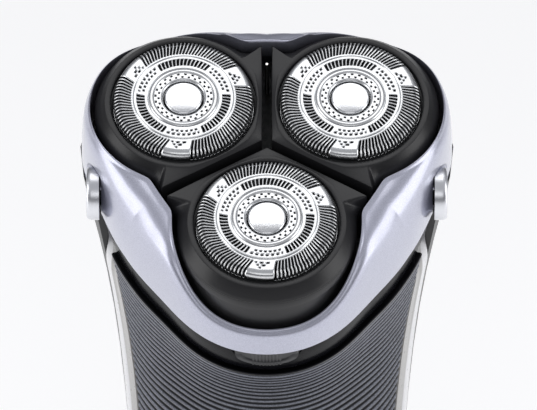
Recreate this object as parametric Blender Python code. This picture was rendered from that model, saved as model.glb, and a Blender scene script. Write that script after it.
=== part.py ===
"""Three-head rotary shaver, modelled as the separate pieces it is put together from.

The shaver stands on its flat base. The origin is the centre of that base face, +Z runs up the
handle and -Y is the front. The handle is straight at the bottom, bends forward in its upper part
and ends in a neck plane. The head unit sits on the neck plane and hinges open at the back. Pieces
of the head and of the drive are placed in the head's own axes: x to the right, y towards the back
and z out of the shaving caps, with z = 0 on the caps' faces.
"""

import math

import bmesh
import bpy
import numpy as np

MM = 0.001
GAP = 0.3 * MM  # clearance between two pieces that touch

# Shaving caps
CAP_RADIUS = 12.5 * MM
CAP_SKIN = 0.6 * MM
CAP_DEPTH = 4.2 * MM
CAP_FLANGE = 0.5 * MM
CAP_TRAVEL = 1.2 * MM
CAP_DISC_RADIUS = 3.45 * MM
CAP_CLEARANCE = 0.8 * MM  # dark ring between a cap and its holder

# Holders, the three black lobes that carry the caps
HOLDER_BRIDGE = 1.0 * MM  # wall left between a cap's hole and the slit
HOLDER_RIM = 3.7 * MM  # how far the lobe reaches past the cap
HOLDER_NOTCH = 3.85 * MM  # reach of the holders' outline past the head centres, between lobes
HOLDER_WALL = 1.2 * MM
HOLDER_DEPTH = 12.0 * MM
HOLDER_TOP = 1.25 * MM  # the caps stand this far proud of the holders
SLIT = 1.8 * MM  # gap between neighbouring holders

# Head collar and frame
COLLAR_CLEARANCE = 0.9 * MM
COLLAR_RIM = 1.0 * MM
COLLAR_CHEEK = 7.2 * MM
COLLAR_WALL = 1.6 * MM
COLLAR_FULL = 0.8  # exponent of the collar's swell at the front, full and round
COLLAR_SLACK = 1.7  # and at the back, where it falls away more evenly
COLLAR_BLEND = 4.0 * MM  # how softly the collar's lobes run into its cheeks
COLLAR_DEPTH = 16.5 * MM  # height of the caps' faces over the neck plane
COLLAR_TOP = 2.7 * MM  # mean depth of the collar's inner rim under the caps' faces
COLLAR_FRONT_DIP = 10.3 * MM
COLLAR_LOBE_DIP = 2.8 * MM  # extra depth of the rim behind the two rear heads
FRAME_PLATE = 1.7 * MM
EAR_RADIUS = 4.9 * MM
EAR_THICKNESS = 2.3 * MM
HINGE_PIN_RADIUS = 0.9 * MM
HINGE_KNUCKLE = 1.9 * MM
HINGE_WIDTH = 11.0 * MM

# Handle
HEAD_TILT = math.radians(20)
NECK_STRAIGHT = 12 * MM
BEND_LENGTH = 44 * MM
HANDLE_STRAIGHT = 82.6 * MM
HANDLE_HALF_WIDTH = 24.2 * MM
HANDLE_FRONT_DEPTH = 19.0 * MM
HANDLE_REAR_DEPTH = 18.0 * MM
HANDLE_ROUNDNESS = 2.3  # exponent of the lower section's outline
NECK_FADE = 46 * MM  # length over which the neck's outline fades into the handle's
NECK_FADE_POWER = 1.3
NECK_MARGIN = 0.35 * MM  # the rear shell swells this far past the collar's lobes
BAND_INSET = 1.0 * MM  # the neck band lies this far inside the rear shell's outline
SHELL_WALL = 1.8 * MM
BAND_HEIGHT = 9.3 * MM
BASE_HEIGHT = 8.0 * MM
BASE_FLOOR = 2.4 * MM

# Drive
PINION_TEETH = 16
GEAR_TEETH = 38
GEAR_THICKNESS = 2.3 * MM
GEAR_BACKLASH = 0.16 * MM
DECK_DROP = 1.1 * MM  # from the neck plane down to the top of the drive deck
DECK_THICKNESS = 1.4 * MM
GEAR_PLATE_THICKNESS = 1.9 * MM
SPINDLE_RADIUS = 1.5 * MM
SPINDLE_TIP_RADIUS = 1.2 * MM
SPINDLE_TOP = 5.2 * MM  # depth of the spindle tips under the caps' faces
MOTOR_RADIUS = 11.0 * MM
MOTOR_LENGTH = 26.0 * MM
BATTERY_RADIUS = 7.0 * MM
BATTERY_LENGTH = 50.0 * MM

# Controls
RELEASE_WIDTH = 11.8 * MM
RELEASE_HEIGHT = 4.3 * MM
RELEASE_TRAVEL = 1.2 * MM
BUTTON_RADIUS = 6.5 * MM
BUTTON_HEIGHT = 70 * MM
BUTTON_TRAVEL = 0.8 * MM
BEZEL_WIDTH = 1.7 * MM
LENS_HEIGHT = 56 * MM

# Trimmer on the back
TRIMMER_HALF_WIDTH = 14.7 * MM
TRIMMER_TOP = 115.5 * MM
TRIMMER_LENGTH = 23.5 * MM
SLIDE_BOTTOM = 74 * MM
SLIDE_TRAVEL = 5 * MM

# Details of the caps and cutters
DISC_RECESS = 0.8 * MM
SHOULDER_RISE = 0.7 * MM  # height of a cap's flange
CUTTER_BLADES = 15
CUTTER_BLADE = 1.1 * MM
CUTTER_INNER = 7.0 * MM
HUB_RADIUS = 3.4 * MM
HUB_BORE = 2.6 * MM
HUB_HOLE = 5.0 * MM  # room for the hub in the head frame

# Details of the head frame, ears and hinge
PIVOT_RADIUS = 0.7 * MM
PIVOT_RISE = 1.8 * MM  # height of the holders' pivots over their lower edge
POST_IN = 11.2 * MM
POST_OUT = 13.4 * MM
POST_DEPTH = 3.6 * MM
EAR_SINK = 2.7 * MM  # depth of an ear's back under the collar's side
EAR_Y = -3.6 * MM
EAR_RISE = 3.9 * MM
EAR_OF_HINGE = 3.0 * MM
HINGE_OUT = 0.1 * MM
HINGE_DROP = 0.15 * MM

# Details of the drive and the works in the handle
SPINDLE_FOOT_RADIUS = 1.0 * MM
SHAFT_RADIUS = 1.0 * MM
SHAFT_SEAT = 4.0 * MM
SHAFT_HOLE = 2.0 * MM
SCREW_RADIUS = 1.1 * MM
SCREW_HEAD_RADIUS = 2.2 * MM
SCREW_HEAD = 0.6 * MM
POST_RADIUS = 2.4 * MM
FRAME_HEIGHT = 78 * MM
FRAME_Y0 = -4.0 * MM
FRAME_Y1 = -1.6 * MM
FRAME_SHELF = 2.0 * MM
BOARD_HALF_WIDTH = 13.0 * MM
BOARD_THICKNESS = 1.6 * MM
BOARD_STANDOFF = 3.6 * MM
SWITCH_DEPTH = 3.5 * MM

# Details of the controls, the base and the charging socket
BUTTON_DEPTH = 4.4 * MM
LENS_RADIUS = 1.5 * MM
RELEASE_TAIL = 0.6 * MM  # the release button reaches this far behind the band's wall
FOOT_CORNER = 2.6 * MM
SOCKET_HALF_X = 5.0 * MM
SOCKET_HALF_Y = 3.5 * MM
SOCKET_Y = 8.0 * MM
SOCKET_TOP = 11.0 * MM
SOCKET_WALL = 1.2 * MM
SOCKET_ROOF = 1.6 * MM
PIN_LENGTH = 3.6 * MM
PIN_SPACING = 3.8 * MM

# Details of the trimmer
TRAY_WALL = 1.2 * MM
TRAY_DEPTH = 7.4 * MM
TRIMMER_PIN = 0.8 * MM
TRIMMER_SINK = 3.6 * MM  # depth of the arm's pin under the back
TRIMMER_CORNER = 4.4 * MM  # sweep of the arm's top end about its pin
COMB_THICKNESS = 0.8 * MM
BLADE_THICKNESS = 0.7 * MM
SLIDE_LENGTH = 7.0 * MM
SLIDE_HALF = 7.0 * MM
SLIDE_STEM = 2.2 * MM
SLIDE_FLANGE = 4.4 * MM

# Worked out from the sizes above
HOLE_RADIUS = CAP_RADIUS + CAP_CLEARANCE
HEAD_RADIUS = (HOLE_RADIUS + HOLDER_BRIDGE + SLIT / 2) / math.sin(math.radians(60))
HOLDER_LOBE = CAP_RADIUS + HOLDER_RIM
HOLDER_NOTCH_RADIUS = HEAD_RADIUS + HOLDER_NOTCH
COLLAR_LOBE = HOLDER_LOBE + COLLAR_CLEARANCE + COLLAR_RIM
COLLAR_NOTCH_RADIUS = HOLDER_NOTCH_RADIUS + COLLAR_CLEARANCE + COLLAR_CHEEK
HEAD_NAMES = {"front": math.radians(-90), "right": math.radians(30), "left": math.radians(150)}
BEND_RADIUS = BEND_LENGTH / HEAD_TILT
BODY_LENGTH = NECK_STRAIGHT + BEND_LENGTH + HANDLE_STRAIGHT
MODULE = 2 * HEAD_RADIUS / (PINION_TEETH + GEAR_TEETH)
DECK_TOP = -COLLAR_DEPTH - DECK_DROP
DECK_BOTTOM = DECK_TOP - DECK_THICKNESS
GEAR_TOP = DECK_BOTTOM - 2 * GAP
GEAR_BOTTOM = GEAR_TOP - GEAR_THICKNESS
PLATE_TOP = GEAR_BOTTOM - 2 * GAP
PLATE_BOTTOM = PLATE_TOP - GEAR_PLATE_THICKNESS
FRAME_BOTTOM = -COLLAR_DEPTH + 0.2 * MM
FRAME_TOP = FRAME_BOTTOM + FRAME_PLATE
TILT_AXIS_Z = -HOLDER_DEPTH + PIVOT_RISE
HINGE_Y = COLLAR_NOTCH_RADIUS + HINGE_OUT
HINGE_Z = -COLLAR_DEPTH - HINGE_DROP
EAR_X = HEAD_RADIUS * math.cos(math.radians(30)) + COLLAR_LOBE - EAR_SINK
EAR_Z = -COLLAR_DEPTH + EAR_RISE
CAP_SHOULDER = CAP_DEPTH - SHOULDER_RISE
CUTTER_OUTER = CAP_RADIUS - CAP_SKIN - 0.9 * MM
HUB_DEPTH = SPINDLE_TOP + 2.1 * MM
SCREW_CIRCLE = HEAD_RADIUS + 4.4 * MM
SCREW_PLACES = [(SCREW_CIRCLE * math.cos(a), SCREW_CIRCLE * math.sin(a))
                for a in (math.radians(-30), math.radians(90), math.radians(210))]
BEZEL_RADIUS = BUTTON_RADIUS + GAP + BEZEL_WIDTH
RELEASE_DEPTH = BAND_INSET + SHELL_WALL + RELEASE_TAIL
FRAME_PLATE_BOTTOM = SOCKET_TOP + GAP
FRAME_PLATE_TOP = FRAME_PLATE_BOTTOM + FRAME_HEIGHT
FRAME_HALF_WIDTH = HANDLE_HALF_WIDTH - SHELL_WALL - 0.8 * MM
BATTERY_BOTTOM = FRAME_PLATE_BOTTOM + FRAME_SHELF + 2 * GAP
BATTERY_Y = FRAME_Y1 + GAP + BATTERY_RADIUS
BOARD_Y1 = FRAME_Y0 - BOARD_STANDOFF
BOARD_Y0 = BOARD_Y1 - BOARD_THICKNESS
BOARD_BOTTOM = FRAME_PLATE_BOTTOM + 2 * MM
BOARD_TOP = FRAME_PLATE_TOP - 2 * MM
PANEL_TOP = GAP
PANEL_BOTTOM = BODY_LENGTH - BASE_HEIGHT - GAP
TRAY_BOTTOM = TRIMMER_TOP - TRIMMER_LENGTH - 1.6 * MM
TRAY_TOP = TRIMMER_TOP + TRIMMER_CORNER + GAP + TRAY_WALL
TRAY_HALF_WIDTH = TRIMMER_HALF_WIDTH + GAP + TRAY_WALL
SLIDE_REACH = SLIDE_LENGTH + SLIDE_TRAVEL


def spine(length):
    """Centre (y, z) and forward tilt of the section that lies this far below the neck plane."""
    length = np.asarray(length, float)
    tilt = HEAD_TILT * np.clip(1 - (length - NECK_STRAIGHT) / BEND_LENGTH, 0, 1)
    above = np.clip(NECK_STRAIGHT - length, 0, None)
    below = np.clip(length - NECK_STRAIGHT - BEND_LENGTH, 0, None)
    y = -BEND_RADIUS * (1 - np.cos(tilt)) - above * math.sin(HEAD_TILT)
    z = HANDLE_STRAIGHT + BEND_RADIUS * np.sin(tilt) + above * math.cos(HEAD_TILT) - below
    return y, z, tilt


def trefoil(phi, lobe, notch, blend=1.2 * MM):
    """Radius of a three-lobed outline: circles about the head centres, joined by one about the axis."""
    psi = np.mod(np.asarray(phi) + math.radians(150), math.radians(120)) - math.radians(60)
    circle = HEAD_RADIUS * np.cos(psi) + np.sqrt(lobe**2 - (HEAD_RADIUS * np.sin(psi)) ** 2)
    return (circle + notch + np.sqrt((circle - notch) ** 2 + blend**2)) / 2


def body_radius(phi, length):
    """Radius of the handle's section: the neck's trefoil fading into a soft oval."""
    fade = np.exp(-((np.maximum(length, 0) / NECK_FADE) ** NECK_FADE_POWER))
    depth = np.where(np.sin(phi) < 0, HANDLE_FRONT_DEPTH, HANDLE_REAR_DEPTH)
    oval = (
        np.abs(np.cos(phi) / HANDLE_HALF_WIDTH) ** HANDLE_ROUNDNESS
        + np.abs(np.sin(phi) / depth) ** HANDLE_ROUNDNESS
    ) ** (-1 / HANDLE_ROUNDNESS)
    neck = trefoil(phi, COLLAR_LOBE + NECK_MARGIN, COLLAR_NOTCH_RADIUS, COLLAR_BLEND)
    return fade * neck + (1 - fade) * oval


def body_point(phi, length, inset=0.0):
    """Points on the handle's surface, or this far inside it."""
    phi, length = np.broadcast_arrays(phi, length)
    radius = body_radius(phi, length) - inset
    y, z, tilt = spine(length)
    across = radius * np.sin(phi)
    points = (radius * np.cos(phi), y + across * np.cos(tilt), z + across * np.sin(tilt))
    return np.stack(points, -1)


def head_to_world(x, y, z):
    """World position of a point given in the head's axes."""
    neck_y, neck_z, _ = spine(0.0)
    up = z + COLLAR_DEPTH
    cos, sin = math.cos(HEAD_TILT), math.sin(HEAD_TILT)
    return (x, float(neck_y) + y * cos - up * sin, float(neck_z) + y * sin + up * cos)


def material(name, colour, roughness, metallic=0.0):
    """A Principled material, made once and shared by the pieces of one finish."""
    if name in bpy.data.materials:
        return bpy.data.materials[name]
    made = bpy.data.materials.new(name)
    made.use_nodes = True
    shader = made.node_tree.nodes["Principled BSDF"]
    shader.inputs["Base Color"].default_value = (*colour, 1)
    shader.inputs["Roughness"].default_value = roughness
    shader.inputs["Metallic"].default_value = metallic
    return made


def satin_black():
    return material("satin_black", (0.03, 0.03, 0.034), 0.42)


def gloss_black():
    return material("gloss_black", (0.008, 0.008, 0.01), 0.12)


def silver_lacquer():
    return material("silver_lacquer", (0.62, 0.63, 0.72), 0.22, 0.7)


def chrome():
    return material("chrome", (0.86, 0.87, 0.89), 0.08, 1.0)


def steel():
    return material("steel", (0.72, 0.73, 0.75), 0.2, 1.0)


def grey_plastic():
    return material("grey_plastic", (0.25, 0.26, 0.27), 0.5)


def white_plastic():
    return material("white_plastic", (0.8, 0.8, 0.8), 0.4)


def board_green():
    return material("board_green", (0.02, 0.16, 0.07), 0.4)


def lens_clear():
    return material("lens_clear", (0.7, 0.9, 0.75), 0.1)


def datum(name, location, rotation_x):
    """An empty that carries pieces given in its own axes."""
    empty = bpy.data.objects.new(name, None)
    empty.location = location
    empty.rotation_euler = (rotation_x, 0, 0)
    bpy.context.scene.collection.objects.link(empty)
    return empty


def add_piece(name, mesh, finish, parent=None, origin=(0, 0, 0)):
    """Link a bmesh as a named object whose origin lies at the given point of its parent's axes."""
    bmesh.ops.recalc_face_normals(mesh, faces=mesh.faces)
    bmesh.ops.translate(mesh, verts=mesh.verts, vec=[-value for value in origin])
    data = bpy.data.meshes.new(name)
    mesh.to_mesh(data)
    mesh.free()
    piece = bpy.data.objects.new(name, data)
    piece.location = origin
    piece.parent = parent
    if finish is None:
        piece.hide_render = True
        piece.display_type = "WIRE"
    else:
        data.materials.append(finish)
        data.shade_smooth()
        data.set_sharp_from_angle(angle=math.radians(35))
    bpy.context.scene.collection.objects.link(piece)
    return piece


def boolean(piece, operation, tool_mesh, axes=None):
    """Cut or join another shape, given in the axes of a datum or of the world."""
    tool = add_piece(f"{piece.name}_{operation.lower()}_tool", tool_mesh, None, axes)
    modifier = piece.modifiers.new(operation.title(), "BOOLEAN")
    modifier.operation = operation
    modifier.solver = "EXACT"
    modifier.use_self = operation == "UNION"
    modifier.object = tool
    return piece


def sheet_faces(rows, columns, wrap_rows, wrap_columns):
    """Quads of a grid of points, closed round in either direction."""
    index = np.arange(rows * columns).reshape(rows, columns)
    if wrap_rows:
        index = np.vstack([index, index[:1]])
    if wrap_columns:
        index = np.hstack([index, index[:, :1]])
    corners = (index[:-1, :-1], index[:-1, 1:], index[1:, 1:], index[1:, :-1])
    return np.stack(corners, -1).reshape(-1, 4)


def mesh_from(points, faces):
    """A bmesh from an array of points and lists of their indices."""
    mesh = bmesh.new()
    verts = [mesh.verts.new(point) for point in np.asarray(points).reshape(-1, 3)]
    for face in faces:
        mesh.faces.new([verts[i] for i in face])
    return mesh


def ring_mesh(loops):
    """A closed ring whose cross-section's corners run round the given loops."""
    loops = np.asarray(loops)
    return mesh_from(loops, sheet_faces(*loops.shape[:2], True, True))


def capped_mesh(loops):
    """A solid stacked from loops, with a flat face on the first and the last."""
    loops = np.asarray(loops)
    rows, columns = loops.shape[:2]
    faces = sheet_faces(rows, columns, False, True).tolist()
    faces.append(list(range(columns)))
    faces.append(list(range((rows - 1) * columns, rows * columns)))
    return mesh_from(loops, faces)


def turned_mesh(profile, segments, centre=(0, 0), hollow=False):
    """A profile of (radius, z) turned about the z axis through centre; hollow for a ring."""
    angle = np.linspace(0, 2 * math.pi, segments, endpoint=False)
    loops = []
    for radius, z in profile:
        ring = (centre[0] + radius * np.cos(angle), centre[1] + radius * np.sin(angle))
        loops.append(np.stack([*ring, np.full(segments, z)], -1))
    return ring_mesh(loops) if hollow else capped_mesh(loops)


def bore_mesh(radius, z0, z1, segments, centre=(0, 0)):
    """Tool that bores a round hole along z through everything between two heights."""
    return turned_mesh(((radius, z0 - 1 * MM), (radius, z1 + 1 * MM)), segments, centre)


def rod_mesh(start, end, radius, segments=12):
    """A straight round bar between two points."""
    start, end = np.asarray(start, float), np.asarray(end, float)
    along = (end - start) / np.linalg.norm(end - start)
    side = np.cross(along, (0, 0, 1) if abs(along[2]) < 0.9 else (0, 1, 0))
    side /= np.linalg.norm(side)
    up = np.cross(along, side)
    angle = np.linspace(0, 2 * math.pi, segments, endpoint=False)[:, None]
    rim = radius * (np.cos(angle) * side + np.sin(angle) * up)
    return capped_mesh([start + rim, end + rim])


def box_mesh(low, high):
    """A box between two corners."""
    (x0, y0, z0), (x1, y1, z1) = low, high
    floor = np.array([(x0, y0, z0), (x1, y0, z0), (x1, y1, z0), (x0, y1, z0)])
    return capped_mesh([floor, floor + (0, 0, z1 - z0)])


def prism_mesh(outline, z0, z1):
    """An outline of (x, y) points raised from z0 to z1."""
    floor = np.column_stack([outline, np.full(len(outline), z0)])
    return capped_mesh([floor, floor + (0, 0, z1 - z0)])


def merged(*meshes):
    """Several shapes as one tool."""
    data = bpy.data.meshes.new("merged")
    whole = bmesh.new()
    for mesh in meshes:
        bmesh.ops.recalc_face_normals(mesh, faces=mesh.faces)
        mesh.to_mesh(data)
        mesh.free()
        whole.from_mesh(data)
    bpy.data.meshes.remove(data)
    return whole


def head_centre(angle):
    return (HEAD_RADIUS * math.cos(angle), HEAD_RADIUS * math.sin(angle))


def outline_loop(radius, z, count=60):
    """A closed loop of points at a radius that may change with the angle."""
    phi = np.linspace(0, 2 * math.pi, count, endpoint=False) + math.radians(30)
    reach = radius(phi)
    height = np.broadcast_to(z(phi) if callable(z) else z, phi.shape)
    return np.stack([reach * np.cos(phi), reach * np.sin(phi), height], -1)


# ---- handle shells ----


def shell_mesh(edges, start, end, columns, rows, inset=0.0):
    """A curved panel of the handle between two edge angles and two lengths below the neck."""
    length = np.linspace(0, 1, rows)[:, None] ** 1.3 * (end - start) + start
    low, high = edges(length)
    phi = low + (high - low) * np.linspace(0, 1, columns)
    outer = body_point(phi, length, inset)
    inner = body_point(phi, length, inset + SHELL_WALL)[:, ::-1]
    return capped_mesh(np.concatenate([outer, inner], 1))


def edge_gap(phi, length):
    """Half of the joint gap between two panels, as an angle."""
    return GAP / 2 / (body_radius(phi, length) - SHELL_WALL)


def grip_edge(length):
    """Angle below the x axis at which the grip ends and the side strip starts."""
    return np.radians(22) - np.radians(11.5) * np.exp(-length / (20 * MM))


def strip_edge(length):
    """Angle below the x axis at which the side strip ends and the rear shell starts."""
    return np.radians(6) + 0 * length


def front_edges(length):
    edge = grip_edge(length)
    inside = edge + edge_gap(edge, length)
    return -math.pi + inside, -inside


def strip_edges(length):
    low = grip_edge(length) - edge_gap(-grip_edge(length), length)
    high = strip_edge(length) + edge_gap(-strip_edge(length), length)
    return -low, -high


def mirrored_strip_edges(length):
    low, high = strip_edges(length)
    return -math.pi - high, -math.pi - low


def rear_edges(length):
    edge = strip_edge(length) - edge_gap(-strip_edge(length), length)
    return -edge, math.pi + edge


def rear_surface_y(height):
    """Where the back of the handle lies at a height, on the centre line."""
    length = np.linspace(0, BODY_LENGTH, 400)
    points = body_point(math.pi / 2, length)
    return float(np.interp(-height, -points[:, 2], points[:, 1]))


def front_surface_y(height):
    """Where the front of the handle lies at a height, on the centre line."""
    length = np.linspace(0, BODY_LENGTH, 400)
    points = body_point(-math.pi / 2, length)
    return float(np.interp(-height, -points[:, 2], points[:, 1]))


TRIMMER_Y = min(rear_surface_y(TRAY_BOTTOM), rear_surface_y(TRIMMER_TOP))
TRIMMER_AXIS_Y = TRIMMER_Y - TRIMMER_SINK
SLIDE_RISE = (rear_surface_y(SLIDE_BOTTOM + SLIDE_REACH) - rear_surface_y(SLIDE_BOTTOM)) / SLIDE_REACH


def hinge_ear_mesh(side):
    """One of the two ears on the back of the neck that hold the hinge pin."""
    near = HINGE_WIDTH / 2 + GAP
    x0, x1 = sorted((side * near, side * (near + EAR_OF_HINGE)))
    angle = np.radians(np.linspace(200, -70, 14))
    across, up = HINGE_Y + HINGE_KNUCKLE * np.cos(angle), HINGE_Z + HINGE_KNUCKLE * np.sin(angle)
    foot = (COLLAR_NOTCH_RADIUS - SHELL_WALL / 2, HINGE_Z - 2.2 * HINGE_KNUCKLE)
    outline = np.concatenate([np.stack([across, up], -1), [foot]])
    first = np.column_stack([np.full(len(outline), x0), outline])
    return capped_mesh([first, first + (x1 - x0, 0, 0)])


def hinge_room_mesh(x0, x1, margin=GAP):
    """Space that a knuckle or an ear of the hinge turns in."""
    return rod_mesh((x0, HINGE_Y, HINGE_Z), (x1, HINGE_Y, HINGE_Z), HINGE_KNUCKLE + margin, 18)


def hinge_bore_mesh():
    reach = HINGE_WIDTH + EAR_OF_HINGE
    return rod_mesh((-reach, HINGE_Y, HINGE_Z), (reach, HINGE_Y, HINGE_Z), HINGE_PIN_RADIUS + GAP)


def make_rear_shell(head):
    """Back half of the handle, with the hinge ears and the openings for trimmer and slide."""
    mesh = shell_mesh(rear_edges, PANEL_TOP, PANEL_BOTTOM, 19, 14)
    shell = add_piece("rear_shell", mesh, satin_black())
    knuckle_room = HINGE_WIDTH / 2 + GAP
    boolean(shell, "DIFFERENCE", hinge_room_mesh(-knuckle_room, knuckle_room), head)
    boolean(shell, "UNION", merged(hinge_ear_mesh(-1), hinge_ear_mesh(1)), head)
    boolean(shell, "DIFFERENCE", hinge_bore_mesh(), head)
    tray = box_mesh(
        (-TRAY_HALF_WIDTH - GAP, 4 * MM, TRAY_BOTTOM - GAP),
        (TRAY_HALF_WIDTH + GAP, 60 * MM, TRAY_TOP + GAP),
    )
    slot = box_mesh(
        (-SLIDE_STEM - GAP, 4 * MM, SLIDE_BOTTOM - GAP),
        (SLIDE_STEM + GAP, 60 * MM, SLIDE_BOTTOM + SLIDE_REACH + GAP),
    )
    boolean(shell, "DIFFERENCE", tray)
    boolean(shell, "DIFFERENCE", slot)


def button_rod(radius, y0, y1, height, segments=24):
    return rod_mesh((0, y0, height), (0, y1, height), radius, segments)


def make_front_grip():
    """Ribbed grip on the front, open for the on/off button's bezel and for the charge light."""
    mesh = shell_mesh(front_edges, BAND_HEIGHT + GAP, PANEL_BOTTOM, 15, 13)
    grip = add_piece("front_grip", mesh, gloss_black())
    far, near = -60 * MM, -4 * MM
    bezel = button_rod(BEZEL_RADIUS + GAP, far, near, BUTTON_HEIGHT)
    lens = button_rod(LENS_RADIUS + GAP, far, near, LENS_HEIGHT, 12)
    boolean(grip, "DIFFERENCE", merged(bezel, lens))


def make_side_strips():
    """Light strips let in between the grip and the rear shell."""
    for name, edges in (("right", strip_edges), ("left", mirrored_strip_edges)):
        mesh = shell_mesh(edges, PANEL_TOP, PANEL_BOTTOM, 4, 13)
        add_piece(f"side_strip_{name}", mesh, white_plastic())


def make_neck_band(head):
    """Glossy band under the collar, cut out for the release button."""
    mesh = shell_mesh(front_edges, PANEL_TOP, BAND_HEIGHT, 23, 4, BAND_INSET)
    band = add_piece("neck_band", mesh, gloss_black())
    boolean(band, "DIFFERENCE", release_mesh(GAP, 2 * MM, 8 * MM), head)


def release_mesh(margin=0.0, rise=0.0, through=0.0):
    """Half-moon of the release button, or with a margin and more reach the tool that lets it in."""
    half, drop = RELEASE_WIDTH / 2 + margin, RELEASE_HEIGHT + margin
    angle = np.linspace(0, math.pi, 13)
    top = -COLLAR_DEPTH - 2 * GAP + rise
    arc_z = -COLLAR_DEPTH - GAP - drop * np.sin(angle) ** 0.6
    arc = np.stack([half * np.cos(angle), np.minimum(arc_z, top - GAP)], -1)
    outline = np.concatenate([[(half, top)], arc, [(-half, top)]])
    front = -(HEAD_RADIUS + COLLAR_LOBE) - through
    first = np.column_stack([outline[:, 0], np.full(len(outline), front), outline[:, 1]])
    return capped_mesh([first, first + (0, RELEASE_DEPTH + 2 * through, 0)])


def make_base():
    """Bottom cap with a flat foot, bored for the charging socket, and the socket's own pieces."""
    phi = np.linspace(0, 2 * math.pi, 32, endpoint=False)
    loops = []
    for up, inward in ((0, 1), (0.12, 0.45), (0.45, 0.12), (1, 0)):
        loops.append(body_point(phi, BODY_LENGTH - up * FOOT_CORNER, inward * FOOT_CORNER))
    loops.append(body_point(phi, BODY_LENGTH - BASE_HEIGHT))
    loops.append(body_point(phi, BODY_LENGTH - BASE_HEIGHT, SHELL_WALL))
    loops.append(body_point(phi, BODY_LENGTH - BASE_FLOOR, SHELL_WALL))
    base = add_piece("base_cap", capped_mesh(loops), gloss_black())
    x, y, roof = SOCKET_HALF_X, SOCKET_HALF_Y, SOCKET_TOP
    front, back = SOCKET_Y - y, SOCKET_Y + y
    well = box_mesh((-x - GAP, front - GAP, -1 * MM), (x + GAP, back + GAP, roof))
    boolean(base, "DIFFERENCE", well)

    wall, ceiling = SOCKET_WALL, roof - SOCKET_ROOF
    block = box_mesh((-x, front, 0.5 * MM), (x, back, roof))
    socket = add_piece("charge_socket", block, gloss_black())
    cavity = box_mesh((wall - x, front + wall, -1 * MM), (x - wall, back - wall, ceiling))
    boolean(socket, "DIFFERENCE", cavity)
    for name, side in (("left", -1), ("right", 1)):
        centre = (side * PIN_SPACING / 2, SOCKET_Y)
        bottom = ceiling - GAP - PIN_LENGTH
        profile = ((0.5 * MM, bottom), (0.8 * MM, bottom + 0.5 * MM), (0.8 * MM, bottom + PIN_LENGTH))
        add_piece(f"socket_pin_{name}", turned_mesh(profile, 10, centre), steel())


# ---- inside the handle ----


def make_inner_frame():
    """Plate with shelves that carries the battery behind it and the circuit board before it."""
    x, top = FRAME_HALF_WIDTH, FRAME_PLATE_TOP
    plate = box_mesh((-x, FRAME_Y0, FRAME_PLATE_BOTTOM), (x, FRAME_Y1, top))
    frame = add_piece("inner_frame", plate, grey_plastic())
    shelves = []
    for shelf in (BATTERY_BOTTOM - GAP - FRAME_SHELF, BATTERY_BOTTOM + BATTERY_LENGTH + GAP):
        low = (-BATTERY_RADIUS, FRAME_Y1 - GAP, shelf)
        high = (BATTERY_RADIUS, BATTERY_Y + 0.7 * BATTERY_RADIUS, shelf + FRAME_SHELF)
        shelves.append(box_mesh(low, high))
    for side in (-1, 1):
        for height in (BOARD_BOTTOM + 4 * MM, BOARD_TOP - 4 * MM):
            start = (side * (BOARD_HALF_WIDTH - 4 * MM), FRAME_Y0 + GAP, height)
            shelves.append(rod_mesh(start, (start[0], BOARD_Y1 + GAP, height), 1.8 * MM, 8))
    boolean(frame, "UNION", merged(*shelves))

    low = (-BOARD_HALF_WIDTH, BOARD_Y0, BOARD_BOTTOM)
    add_piece("circuit_board", box_mesh(low, (BOARD_HALF_WIDTH, BOARD_Y1, BOARD_TOP)), board_green())
    half = 3 * MM
    front = BOARD_Y0 - GAP
    low = (-half, front - SWITCH_DEPTH, BUTTON_HEIGHT - half)
    switch = box_mesh(low, (half, front, BUTTON_HEIGHT + half))
    add_piece("tact_switch", switch, steel())
    end = BATTERY_BOTTOM + BATTERY_LENGTH
    shoulder, nub = end - 1.5 * MM, 2.5 * MM
    profile = ((BATTERY_RADIUS, BATTERY_BOTTOM), (BATTERY_RADIUS, shoulder), (nub, shoulder), (nub, end))
    cell = turned_mesh(profile, 20, (0, BATTERY_Y))
    add_piece("battery", cell, material("cell_wrap", (0.05, 0.2, 0.45), 0.35))


def body_inside(phi, z):
    """Radius just inside the handle's wall in a plane of the head, for the plates of the drive."""
    return body_radius(phi, -z - COLLAR_DEPTH) - SHELL_WALL - BAND_INSET - GAP


def plate_mesh(z0, z1):
    bottom = outline_loop(lambda phi: body_inside(phi, z0), z0, 60)
    return capped_mesh([bottom, bottom + (0, 0, z1 - z0)])


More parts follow.
